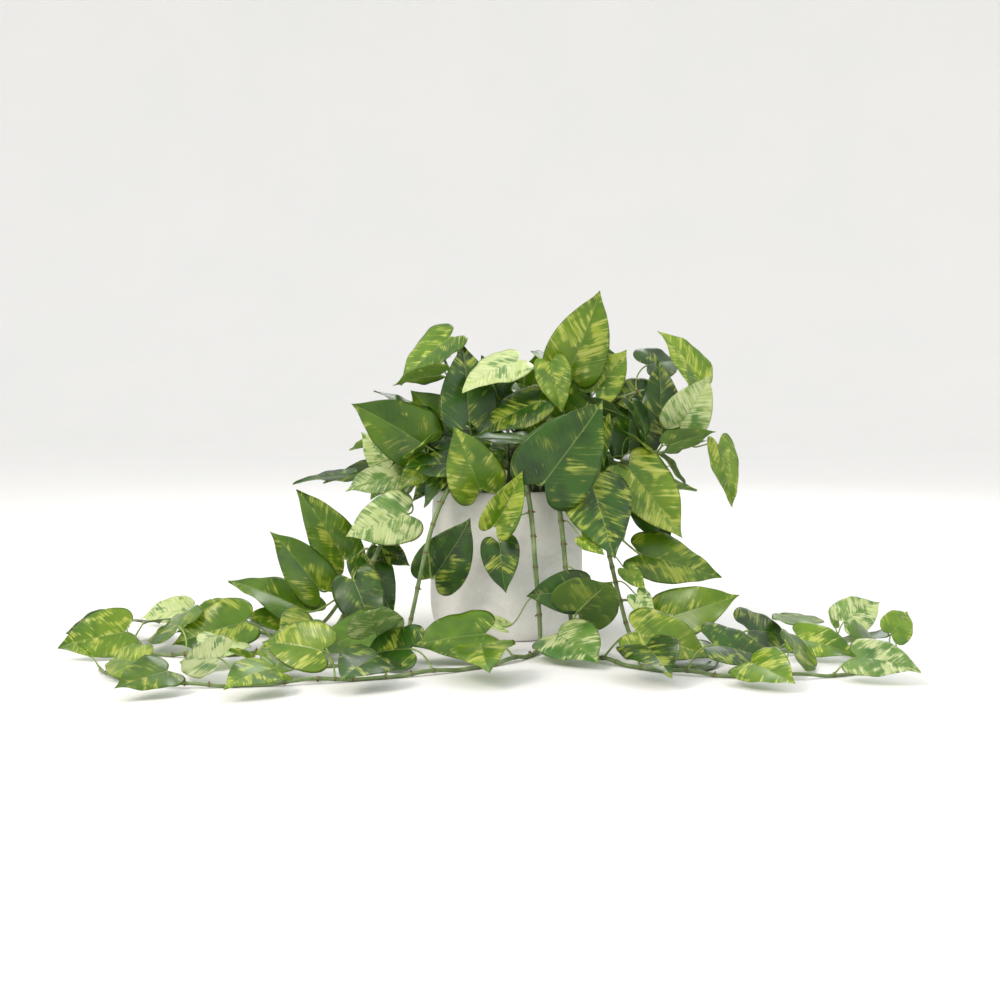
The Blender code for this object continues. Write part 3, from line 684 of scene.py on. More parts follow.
# The leaves between them, in the same form
innerLeaves = [
    ("shoot_top_right", (110, -2, 300), (150, 8, 350), (0, -0.9, 0.3), 0.9, 14, 10, "lime"),
    ("shoot_top_middle", (42, -24, 342), (52, -52, 290), (0.1, -1, 0.3), 0.95, 18, 12, "lime"),
    ("shoot_top_left", (-98, 16, 268), (-166, 20, 300), (-0.25, -0.15, 0.95), 0.85, 14, 10, "deep"),
    ("shoot_top_middle", (36, -40, 292), (-34, -50, 250), (-0.1, -0.5, 0.85), 0.95, 16, 8, "deep"),
    ("vine_front_middle", (34, -92, 238), (-48, -112, 244), (0, -0.3, 1), 0.8, 14, 10, "deep"),
    ("shoot_top_right", (176, 6, 292), (90, 10, 302), (0, -0.8, 0.6), 0.95, 20, 10, "deep"),
    ("shoot_right", (198, -52, 236), (252, -62, 252), (0, 0.6, 0.8), 0.9, 14, 12, "green"),
    ("shoot_right", (124, -60, 262), (122, -66, 196), (-0.6, -0.8, 0.1), 0.6, 14, 16, "deep"),
    ("vine_front_right", (78, -122, 172), (16, -130, 152), (0, -0.5, 0.85), 0.85, 16, 10, "deep"),
    ("shoot_right", (166, -52, 166), (196, -62, 110), (0.1, -0.95, 0.3), 0.8, 14, 12, "deep"),
    ("vine_right", (152, -120, 62), (172, -128, 34), (0.2, -0.9, 0.3), 0.9, 12, 12, "cream"),
    ("vine_front_right", (92, -152, 78), (30, -160, 62), (0, -0.9, 0.45), 0.9, 16, 12, "deep"),
    ("vine_front_right", (86, -142, 132), (110, -152, 112), (0.1, -0.9, 0.4), 0.8, 12, 12, "lime"),
    ("vine_right", (140, -112, 92), (162, -122, 68), (0.1, -0.9, 0.4), 0.8, 12, 14, "lime"),
    ("vine_left_outer", (-268, -66, 24), (-314, -74, 32), (0.1, -0.8, 0.6), 0.8, 14, 14, "lime"),
    ("vine_left_outer", (-195, -20, 197), (-262, -24, 186), (0, -0.25, 1), 0.65, 16, 14, "deep"),
    ("vine_left_outer", (-134, -32, 198), (-198, -38, 180), (-0.1, -0.7, 0.7), 0.9, 16, 10, "cream"),
    ("vine_left_outer", (-142, 0, 206), (-180, 0, 250), (-0.2, -0.95, 0.2), 0.85, 14, 12, "cream"),
    ("vine_left_inner", (-94, -64, 214), (-128, -76, 184), (-0.1, -0.9, 0.4), 0.9, 12, 12, "lime"),
    ("vine_left_inner", (-180, -98, 76), (-148, -124, 8), (-0.2, -0.9, 0.4), 0.85, 18, 12, "deep"),
    ("vine_left_inner", (-176, -76, 84), (-106, -90, 52), (0, -0.3, 0.95), 0.75, 16, 12, "deep"),
    ("vine_left_inner", (-150, -62, 112), (-116, -66, 90), (0.1, -0.9, 0.4), 0.85, 12, 12, "deep"),
    ("vine_front_middle", (-4, -152, 30), (-46, -156, 44), (-0.1, -0.9, 0.5), 0.55, 16, 40, "cream"),
    ("vine_front_middle", (2, -158, 34), (48, -164, 42), (0.1, -0.7, 0.7), 0.5, 16, 40, "cream"),
    ("shoot_back_middle", (0, 40, 262), (-30, 34, 346), (0, -0.95, 0.2), 0.95, 16, 12, "deep"),
    ("shoot_back_right", (62, 40, 250), (98, 34, 332), (0.1, -0.95, 0.2), 0.95, 16, 12, "deep"),
    ("shoot_back_left", (-64, 42, 240), (-122, 44, 302), (-0.1, -0.9, 0.3), 0.95, 16, 12, "green"),
    ("shoot_back_middle", (26, 62, 264), (42, 60, 350), (0, -0.95, 0.2), 0.9, 16, 12, "green"),
    ("shoot_back_right", (112, 60, 248), (172, 56, 290), (0.1, -0.8, 0.5), 0.95, 18, 10, "deep"),
    ("shoot_top_left", (-20, -34, 232), (-80, -44, 196), (-0.2, -0.8, 0.5), 0.9, 18, 10, "deep"),
    ("shoot_top_middle", (34, -46, 256), (72, -64, 196), (0.1, -0.9, 0.4), 0.9, 18, 10, "green"),
    ("shoot_top_right", (84, -30, 262), (150, -44, 232), (0.1, -0.8, 0.5), 0.9, 18, 10, "deep"),
    ("shoot_top_left", (-56, -2, 236), (-128, -8, 232), (-0.1, -0.6, 0.8), 0.9, 18, 10, "deep"),
    ("shoot_top_right", (70, 10, 276), (60, 4, 352), (0, -0.95, 0.2), 0.9, 16, 12, "green"),
    ("shoot_right", (96, -36, 214), (150, -52, 176), (0.1, -0.85, 0.5), 0.9, 16, 10, "green"),
    ("shoot_right", (150, -2, 232), (140, 6, 300), (0, -0.95, 0.2), 0.85, 16, 12, "deep"),
    ("vine_left_outer", (-84, 22, 222), (-150, 34, 196), (-0.3, -0.5, 0.8), 0.9, 18, 10, "deep"),
    ("vine_front_left", (-58, -96, 214), (-118, -112, 210), (-0.1, -0.7, 0.7), 0.85, 18, 10, "deep"),
]

# The leaves along the surface follow a rule, and so do those that fill the crown
trail = {
    "startHeight": 16 * mm,
    "spacing": (60 * mm, 44 * mm),  # near the pot and near the tip
    "lengths": (90 * mm, 58 * mm),
    "every": 3,  # the plain solids hold one leaf in this many
    "tones": ("deep", "lime", "green", "cream", "green", "lime", "deep"),
}

tones = ("deep", "green", "lime", "cream")


def softFloor(height, lowest):
    # keeps a height above the lowest, easing in over the last few millimetres
    ease = 6 * mm
    low = lowest + ease * np.exp((np.minimum(height, lowest + ease) - lowest - ease) / ease)
    return np.where(height >= lowest + ease, height, low)


def outlineRows(rows):
    # the outline at row numbers, which may lie between two rows
    first = np.minimum(rows.astype(int), lastRow - 1)
    t = (rows - first)[:, None]
    a, b, c, d = (outline[np.clip(first + k, 0, lastRow)] for k in (-1, 0, 1, 2))
    bend = (2 * a - 5 * b + 4 * c - d) * t**2 + (3 * b - a - 3 * c + d) * t**3
    return (0.5 * (2 * b + (c - a) * t + bend)).T


def leafAxes(leaf):
    # the blade's own directions: along its chord, across it, and out of its upper face
    along = (leaf["tip"] - leaf["base"]).normalized()
    out = (leaf["face"] - leaf["face"].dot(along) * along).normalized()
    return along, out.cross(along), out


def bladePoints(leaf, rows, sides, grow=0, fine=False):
    # points of the blade's middle surface; side runs from -1 to 1 across it
    along, across, out = (np.array(axis) for axis in leafAxes(leaf))
    start, endX, endY = outlineRows(rows)
    x = start + (endX - start) * np.abs(sides) ** 1.3
    y = endY * sides * leaf["width"]
    bend, fold = math.radians(leaf["bend"]), math.radians(leaf["fold"])
    chord = 2 * math.sin(bend / 2) / bend
    length = (leaf["tip"] - leaf["base"]).length / chord
    angle = bend * (0.5 - x)
    forward = (math.sin(bend / 2) - np.sin(angle)) / bend
    upward = (np.cos(angle) - math.cos(bend / 2)) / bend
    soft = leaves["midribSoftness"]
    rise = math.sin(fold) * (np.hypot(y, soft) - soft)
    rise += 0.018 * sides**2 * np.sin(7 * x + leaf["phase"]) - 0.35 * y**2
    if fine:
        spread = np.clip(np.abs(y) / 0.12, 0, 1) * np.clip((1 - np.abs(sides)) / 0.3, 0, 1)
        vein = (x - leaves["veinLean"] * np.abs(y) / leaf["width"]) * leaves["veins"]
        rise += leaves["quilting"] * spread * -np.cos(math.tau * vein)
        rise += leaves["ripple"] * sides**2 * np.sin(11 * x + 3 * leaf["phase"] + 2 * np.sign(sides))
        rise += 0.4 * leaves["ripple"] * sides**4 * np.sin(23 * x + 5 * leaf["phase"] - np.sign(sides))
        hook = leaves["tipHook"] * np.clip((x - 0.6) / 0.4, 0, 1) ** 2 * math.sin(7 * leaf["phase"])
    else:
        hook = 0
    stretch = 1 + grow / length * 2
    forward = (forward - np.sin(angle) * rise) * stretch
    upward = upward + np.cos(angle) * rise
    sideways = (y * math.cos(fold) + hook) * stretch
    points = np.array(leaf["base"]) + length * (
        forward[:, None] * along + sideways[:, None] * across + upward[:, None] * out
    )
    points[:, 2] = softFloor(points[:, 2], leaves["bladeFloor"])
    return points, x, y


def bladeNormals(leaf, rows, sides, grow=0, fine=False):
    step = 0.05
    ahead = [bladePoints(leaf, rows + k * step, sides, grow, fine)[0] for k in (1, -1)]
    beside = [bladePoints(leaf, rows, sides + k * step, grow, fine)[0] for k in (1, -1)]
    normals = np.cross(ahead[0] - ahead[1], beside[0] - beside[1])
    return normals / np.linalg.norm(normals, axis=1)[:, None]


def stalkPath(leaf, samples):
    # points along the leaf's stalk, square out of the stem and then up into the blade
    along, _, out = leafAxes(leaf)
    start, end = leaf["start"], leaf["base"]
    reach = (end - start).length
    arrive = (0.9 * along + math.copysign(leaf["duck"], (end - start).dot(out)) * out).normalized()
    leave = (leaf["start"] - leaf["root"]).normalized()
    handle = max(0.4 * reach, 0.2 * (leaf["tip"] - leaf["base"]).length)
    a, b, c, d = start, start + leave * reach * 0.3, end - arrive * handle, end
    points = []
    for step in range(samples + 1):
        t = step / samples
        point = a * (1 - t) ** 3 + 3 * b * t * (1 - t) ** 2 + 3 * c * t**2 * (1 - t) + d * t**3
        point.z = float(softFloor(point.z, leaves["stalkRadius"] + gap))
        points.append(point)
    return points, leave, arrive


def plainLeaf(leaf, grow=0):
    # points and faces of the plain solid: rings of eight points from the stem to the tip
    points, leave, arrive = stalkPath(leaf, 4)
    directions = [leave]
    directions += [(after - before).normalized() for before, after in zip(points, points[2:])]
    directions.append(arrive)
    out = leafAxes(leaf)[2]
    rings = []
    for point, direction in zip(points[::-1], directions[::-1]):
        out = (out - out.dot(direction) * direction).normalized()
        left = direction.cross(out)
        turn = [math.pi - math.pi / 4 * k for k in range(8)]
        rings.append([point + leaves["stalkRadius"] * (math.sin(a) * out - math.cos(a) * left) for a in turn])
    points = [p for ring in rings[::-1] for p in ring]
    half = leaves["plainBlade"] + grow
    sides = np.array([-1, -0.5, 0, 0.5, 1, 0.5, 0, -0.5] * len(plainRows))
    over = np.array([0, 1, 1, 1, 0, -1, -1, -1] * len(plainRows))
    rows = np.repeat(plainRows, 8)
    blade, _, _ = bladePoints(leaf, rows, sides, grow)
    thick = over * half * (1 - 0.3 * np.abs(sides))
    blade = blade + thick[:, None] * bladeNormals(leaf, rows, sides, grow)
    tip = bladePoints(leaf, np.array([float(lastRow)]), np.zeros(1), grow)[0]
    points += [Vector(p) for p in [*blade, *tip]]
    rings = len(rings) + len(plainRows)
    faces = [tuple(range(8))]
    for ring in range(rings - 1):
        for k in range(8):
            a, b = ring * 8 + k, ring * 8 + (k + 1) % 8
            if k % 4 < 2:
                faces += [(b, a, b + 8), (a, a + 8, b + 8)]
            else:
                faces += [(b, a, a + 8), (b, a + 8, b + 8)]
    last = rings * 8 - 8
    faces += [(last + (k + 1) % 8, last + k, last + 8) for k in range(8)]
    return points, faces


def turnedLeaf(leaf, yaw, pitch, duck):
    # the same leaf, swung about the place where its stalk leaves the stem
    away = leaf["base"] - leaf["root"]
    level = Vector((away.y, -away.x, 0)).normalized() if away.xy.length > mm else Vector((1, 0, 0))
    turn = Matrix.Rotation(math.radians(yaw), 3, "Z") @ Matrix.Rotation(math.radians(pitch), 3, level)
    moved = dict(leaf, duck=duck)
    for key in ("base", "tip"):
        moved[key] = leaf["root"] + turn @ (leaf[key] - leaf["root"])
    moved["face"] = turn @ leaf["face"]
    return moved


def swings():
    # the turns that a leaf may make to find room, the smallest first
    for size in (0, 4, 8, 12, 17, 23, 31, 40, 52, 66):
        for step in range(8 if size else 1):
            angle = math.pi / 4 * step
            for duck in leaves["ducks"]:
                yield size * math.cos(angle), size * math.sin(angle), duck


def plannedLeaf(path, base, tip, face, width, bend, fold, phase, attach=None):
    # a leaf on a stem, whose stalk leaves the stem a little nearer the root than the blade's base
    if attach is None:
        length = nearestLength(path, base)
        attach = length - 0.6 * (atLength(path, length)[0] - base).length - 8 * mm
    root, direction, radius = atLength(path, attach)
    away = base - root
    away = (away - away.dot(direction) * direction).normalized()
    return {
        "root": root, "start": root + away * (radius + 1.5 * gap), "base": base, "tip": tip,
        "face": Vector(face).normalized(), "width": width, "bend": bend, "fold": fold, "phase": phase,
        "attach": attach,
    }


def listedLeaves(paths, table, ending):
    counts = {}
    for stem, base, tip, face, width, bend, fold, tone in table:
        counts[stem] = counts.get(stem, 0) + 1
        leaf = plannedLeaf(
            paths[stem], Vector(base) * mm, Vector(tip) * mm, face, width, bend, fold, counts[stem]
        )
        yield f"{stem}_{ending}_{counts[stem]}", stem, leaf, tone


def trailLeaves(paths):
    # leaves to the left and right of each vine in turn, from where it reaches the surface to its tip
    for vine, name in enumerate(vines):
        path = paths[name]
        run = lengthsAlong(path)
        landed = next(i for i, (p, _) in enumerate(path) if i > 4 and p.z < trail["startHeight"])
        length, count = run[landed] + 12 * mm, 0
        while length < run[-1] - 20 * mm:
            part = (length - run[landed]) / (run[-1] - run[landed])
            draw = random.Random(100 * vine + count).uniform
            longest, shortest = trail["lengths"]
            size = (longest + (shortest - longest) * part) * draw(0.92, 1.08)
            root, forward, _ = atLength(path, length)
            side = 1 if (vine + count) % 2 else -1
            swing = Matrix.Rotation(side * math.radians(draw(42, 74)), 3, "Z")
            heading = swing @ Vector((forward.x, forward.y, 0)).normalized()
            height = draw(0.30, 0.42) * size
            base = root + heading * size * draw(0.34, 0.46)
            base.z = height
            drop = draw(0.35, 1.0) * (height - 6 * mm)
            onward = (Matrix.Rotation(-side * math.radians(draw(0, 25)), 3, "Z") @ heading) * size
            tip = base + onward * math.sqrt(1 - (drop / size) ** 2) - Vector((0, 0, drop))
            face = Vector((draw(-0.25, 0.25), draw(-0.95, -0.5), draw(0.55, 0.8)))
            leaf = plannedLeaf(
                path, base, tip, face, draw(0.82, 0.98), draw(14, 28), draw(8, 18), draw(0, 6), length
            )
            tone = trail["tones"][(vine + count) % len(trail["tones"])]
            if count % trail["every"] == 0:
                yield f"{name}_leaf_on_surface_{count // trail['every'] + 1}", name, leaf, tone
            else:
                yield f"{name}_leaf_between_{count}", name, leaf, tone
            length += trail["spacing"][0] + (trail["spacing"][1] - trail["spacing"][0]) * part
            count += 1


def youngLeaves(paths):
    # a narrow young leaf, still half rolled up, at the growing tip of each vine
    for number, name in enumerate(vines):
        path = paths[name]
        end = lengthsAlong(path)[-1]
        root, forward, _ = atLength(path, end - 7 * mm)
        ahead = Vector((forward.x, forward.y, 0)).normalized()
        side = Vector((-ahead.y, ahead.x, 0)) * (1 if number % 2 else -1)
        base = root + ahead * 10 * mm + side * 8 * mm + Vector((0, 0, 14 * mm))
        tip = base + (ahead * 0.7 + side * 0.3 + Vector((0, 0, 0.25))) * 40 * mm
        leaf = plannedLeaf(path, base, tip, Vector((0, -0.6, 0.8)), 0.5, 20, 46, 0.9 * number, end - 7 * mm)
        yield f"{name}_young_leaf", name, leaf, "lime"


fill = {
    # the length at which the first leaf leaves each stem, the spacing, the count and the blades' lengths
    "shoot_top_left": (40, 24, 7, (52, 74)),
    "shoot_top_middle": (44, 24, 7, (54, 76)),
    "shoot_top_right": (42, 26, 8, (54, 76)),
    "shoot_right": (38, 28, 7, (54, 76)),
    "shoot_back_left": (40, 21, 11, (60, 88)),
    "shoot_back_middle": (40, 21, 13, (60, 90)),
    "shoot_back_right": (40, 21, 11, (60, 88)),
    "vine_left_outer": (36, 26, 4, (50, 70)),
    "vine_left_inner": (36, 26, 4, (50, 70)),
    "vine_front_left": (36, 24, 3, (46, 62)),
    "vine_front_right": (36, 24, 3, (46, 62)),
    "vine_right": (36, 26, 5, (50, 72)),
}


def fillLeaves(paths):
    # leaves that stand out from the pot's middle all round each stem, to fill the crown
    for number, (stem, (first, spacing, count, sizes)) in enumerate(fill.items()):
        for index in range(count):
            draw = random.Random(900 + 40 * number + index).uniform
            length = (first + spacing * index) * mm
            root = atLength(paths[stem], length)[0]
            outward = Vector((root.x, root.y + 20 * mm, 0)).normalized()
            side = 1 if index % 2 else -1
            heading = Matrix.Rotation(side * math.radians(draw(25, 80)), 3, "Z") @ outward
            size = draw(*sizes) * mm
            base = root + heading * size * draw(0.35, 0.5) + Vector((0, 0, draw(14, 34) * mm))
            drop = draw(-0.1, 0.6)
            onward = (heading + outward * 0.35).normalized()
            tip = base + (onward * math.sqrt(1 - drop**2) - Vector((0, 0, drop))) * size
            face = (outward * draw(0.5, 0.9) + Vector((draw(-0.2, 0.2), 0, draw(0.5, 0.9)))).normalized()
            leaf = plannedLeaf(
                paths[stem], base, tip, face, draw(0.8, 0.98), draw(14, 26), draw(8, 18), draw(0, 6), length
            )
            yield f"{stem}_inside_leaf_{index + 1}", stem, leaf, tones[int(draw(0, 3.4))]


def reachOf(leaf):
    return (leaf["base"] - leaf["start"]).length


def bladeSkin(leaf, seed):
    # the blade as one closed skin: its points, (along, across, seed) and nearness to the margin at each
    # point, its faces, and the slot of each face
    first, second = leaves["rows"]
    rows = np.concatenate([np.linspace(0, 5, first)[1:-1], np.linspace(5, lastRow, second)[:-1]])
    rows = np.append(rows, lastRow - 0.03)
    columns = leaves["columns"]
    even = np.linspace(-1, 1, columns + 1)
    across = np.sign(even) * np.abs(even) ** 1.15
    ring = np.concatenate([across, across[-2:0:-1]])
    over = np.concatenate([np.ones(columns + 1), -np.ones(columns - 1)])
    over[[0, columns]] = 0
    sides = len(ring)
    rowOf, sideOf = np.repeat(rows, sides), np.tile(ring, len(rows))
    middle, x, y = bladePoints(leaf, rowOf, sideOf, fine=True)
    normals = bladeNormals(leaf, rowOf, sideOf, fine=True)
    offset = np.tile(over, len(rows)) * leaves["blade"] * (1 - 0.5 * sideOf**4)
    offset -= leaves["midribGroove"] * np.exp(-((y / 0.011) ** 2)) * np.clip(1.1 - x, 0, 1)
    ends, endX, _ = bladePoints(leaf, np.array([0.0, float(lastRow)]), np.zeros(2), fine=True)
    points = np.concatenate([middle + offset[:, None] * normals, ends])
    acrossAt = np.append(y / leaf["width"], [0, 0])
    place = np.stack([np.append(x, endX), acrossAt, np.full(len(points), seed)], 1)
    edge = np.append(np.abs(sideOf), [0, 1])
    faces = loftFaces(len(rows), sides, len(points) - 2, len(points) - 1)
    slots = [0 if k % sides < columns else 1 for k in range((len(rows) - 1) * sides)]
    slots += [slot for k in range(sides) for slot in [0 if k < columns else 1] * 2]
    return points, place, edge, faces, slots


def stalkSpine(leaf):
    # the middle line and radii of the stalk, from just inside the stem to where the midrib fades out,
    # and how many of the points come before the blade
    size = min(max((leaf["tip"] - leaf["base"]).length / (82 * mm), 0.72), 1.1)
    thick = leaves["stalkRadius"] * size
    stalk, leave, _ = stalkPath(leaf, 16)
    spine, radii = [stalk[0] - leave * 1.6 * mm], [1.45 * thick]
    for step, point in enumerate(stalk):
        part = step / (len(stalk) - 1)
        swell = 0.42 * math.exp(-part * reachOf(leaf) / (3.5 * mm))
        swell += 0.14 * math.exp(-(((1 - part) / 0.12) ** 2))
        spine.append(point)
        radii.append(thick * (0.86 + swell))
    ribRows, ribSides = np.linspace(0.6, 8.8, 12), np.zeros(12)
    ribPoints, ribX, _ = bladePoints(leaf, ribRows, ribSides, fine=True)
    ribNormals = bladeNormals(leaf, ribRows, ribSides, fine=True)
    for point, normal, along in zip(ribPoints, ribNormals, ribX):
        radius = thick * (1 - 0.82 * min(float(along) / 0.85, 1)) * 0.95
        spine.append(Vector(point) - Vector(normal) * (radius + leaves["midribGroove"] - 0.1 * mm))
        spine[-1].z = max(spine[-1].z, radius + gap)
        radii.append(radius)
    return spine, radii, len(stalk)


def stalkTube(leaf, seed):
    # the stalk and the midrib as one closed tube: its points, and (along, around, seed) at each
    spine, radii, turnPoint = stalkSpine(leaf)
    last = len(spine) - 1
    ahead = [(spine[min(i + 1, last)] - spine[max(i - 1, 0)]).normalized() for i in range(last + 1)]
    outs = [None] * len(spine)
    # the tube keeps facing the way the blade does, and is worked out from the blade's base both ways
    for indices in (range(turnPoint, -1, -1), range(turnPoint + 1, last + 1)):
        held = leafAxes(leaf)[2]
        for index in indices:
            held = (held - held.dot(ahead[index]) * ahead[index]).normalized()
            outs[index] = held
    count = leaves["stalkSides"]
    tube, place = [], []
    for index, (point, radius) in enumerate(zip(spine, radii)):
        left = ahead[index].cross(outs[index])
        for k in range(count):
            a = math.pi - math.tau / count * k
            up = math.sin(a)
            # a channel runs along the stalk's upper side
            dent = 1 - 0.22 * max(up, 0) ** 6 if index < turnPoint else 1
            tube.append(point + radius * dent * (up * outs[index] - math.cos(a) * left))
            place.append((index / len(spine), k / count, seed))
    tube += [spine[0], spine[-1] + ahead[-1] * 0.5 * mm]
    place += [(0, 0, seed), (1, 0, seed)]
    return tube, place


def leafMesh(name, leaf, seed):
    # the blade is one closed skin; the stalk is another, which runs on under the blade as its midrib
    points, place, edge, faces, slots = bladeSkin(leaf, seed)
    tube, tubePlace = stalkTube(leaf, seed)
    base, count = len(points), leaves["stalkSides"]
    faces += loftFaces((len(tube) - 2) // count, count, base + len(tube) - 2, base + len(tube) - 1, base)
    slots += [2] * (len(faces) - len(slots))
    mesh = bpy.data.meshes.new(name)
    mesh.from_pydata([*points.tolist(), *(tuple(p) for p in tube)], [], faces)
    mesh.polygons.foreach_set("material_index", slots)
    setAttribute(mesh, "leafPlace", "FLOAT_VECTOR", np.concatenate([place, np.array(tubePlace)]))
    setAttribute(mesh, "leafEdge", "FLOAT", np.append(edge, np.zeros(len(tube))))
    return mesh


room = {
    "match": 0.05 * mm,  # how closely a leaf has to lie as its plain solid does
    "spill": 8 * mm,  # how far a leaf may pass the solids' outline
    "smallSize": 0.72,  # a leaf with no room is tried again this much smaller
}


def solidLeaf(name, leaf):
    # the leaf as it was swung when its plain solid was made
    low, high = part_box(name)
    for swing in swings():
        trial = turnedLeaf(leaf, *swing)
        points = np.array(plainLeaf(trial)[0])
        if max(np.abs(points.min(0) - low).max(), np.abs(points.max(0) - high).max()) < room["match"]:
            return trial
    raise ValueError(f"{name} isn't where its plain solid is")


def freeLeaf(leaf, taken):
    # the leaf swung, or made smaller, until it has room among everything placed so far
    for size, swing in [(size, swing) for size in (1, room["smallSize"]) for swing in swings()]:
        trial = turnedLeaf(leaf, *swing)
        trial["tip"] = trial["base"] + (trial["tip"] - trial["base"]) * size
        points, faces = plainLeaf(trial, leaves["clearance"] * size)
        corners = np.array(points)
        low, high = corners.min(0), corners.max(0)
        spill = room["spill"]
        if any(low[k] < cadBox[0][k] - spill or high[k] > cadBox[1][k] + spill for k in (0, 1)):
            continue
        fat = BVHTree.FromPolygons(points, faces)
        near = [
            other for other, otherLow, otherHigh in taken
            if all(low[k] < otherHigh[k] and high[k] > otherLow[k] for k in range(3))
        ]
        if not any(fat.overlap(other) for other in near):
            return trial
    return None


def placeLeaves(paths):
    # the plain solids say where some of the leaves lie; the others are swung until they have room
    taken = []
    for name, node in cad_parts.items():
        points = [v.co.copy() for v in node.data.vertices]
        polygons = [tuple(p.vertices) for p in node.data.polygons]
        taken.append((BVHTree.FromPolygons(points, polygons), *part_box(name)))
    listed = [
        *listedLeaves(paths, crownLeaves, "leaf"), *trailLeaves(paths),
        *listedLeaves(paths, innerLeaves, "inner_leaf"), *youngLeaves(paths), *fillLeaves(paths),
    ]
    placed = [
        (name, stem, solidLeaf(name, leaf), tone, True)
        for name, stem, leaf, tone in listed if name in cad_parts
    ]
    print(f"{len(placed)} leaves lie as their plain solids do")
    missed = []
    for name, stem, leaf, tone in listed:
        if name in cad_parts:
            continue
        found = freeLeaf(leaf, taken)
        if found is None:
            missed.append(name)
            continue
        points, faces = plainLeaf(found)
        corners = np.array(points)
        taken.append((BVHTree.FromPolygons(points, faces), corners.min(0), corners.max(0)))
        placed.append((name, stem, found, tone, False))
    print(f"{len(placed)} leaves placed, no room for {len(missed)}")
    return placed


# Leaf finishes

leafLooks = {
    # the green's shaded and usual colours, the splashes' usual and palest ones, and where splashes begin:
    # the lower, the more of the blade they cover
    "deep": (("#20410e", "#386510", "#869e24", "#c0c95e"), 0.585),
    "green": (("#406a08", "#658d0e", "#9eb22a", "#c9d066"), 0.575),
    "lime": (("#538010", "#7b9e18", "#aec036", "#dade7c"), 0.54),
    "cream": (("#54863a", "#84aa52", "#cddb94", "#ecf0c8"), 0.475),
}
leafFinish = {
    "bladeLength": 85 * mm,  # the usual one, against which the patterns' sizes are given
    "streakWidth": 4.6 * mm,
    "streakLength": 34 * mm,
    "patchSize": 24 * mm,  # splashes gather in patches about this big
    "shadeSize": 45 * mm,  # the green drifts from dark to light over this
    "cellSize": 0.9 * mm,  # leaf cells are finer, and are drawn as coarse as shows
    "roughness": 0.31,
    "coat": 0.3,
    "through": 0.3,  # the share of light that passes through the blade
}


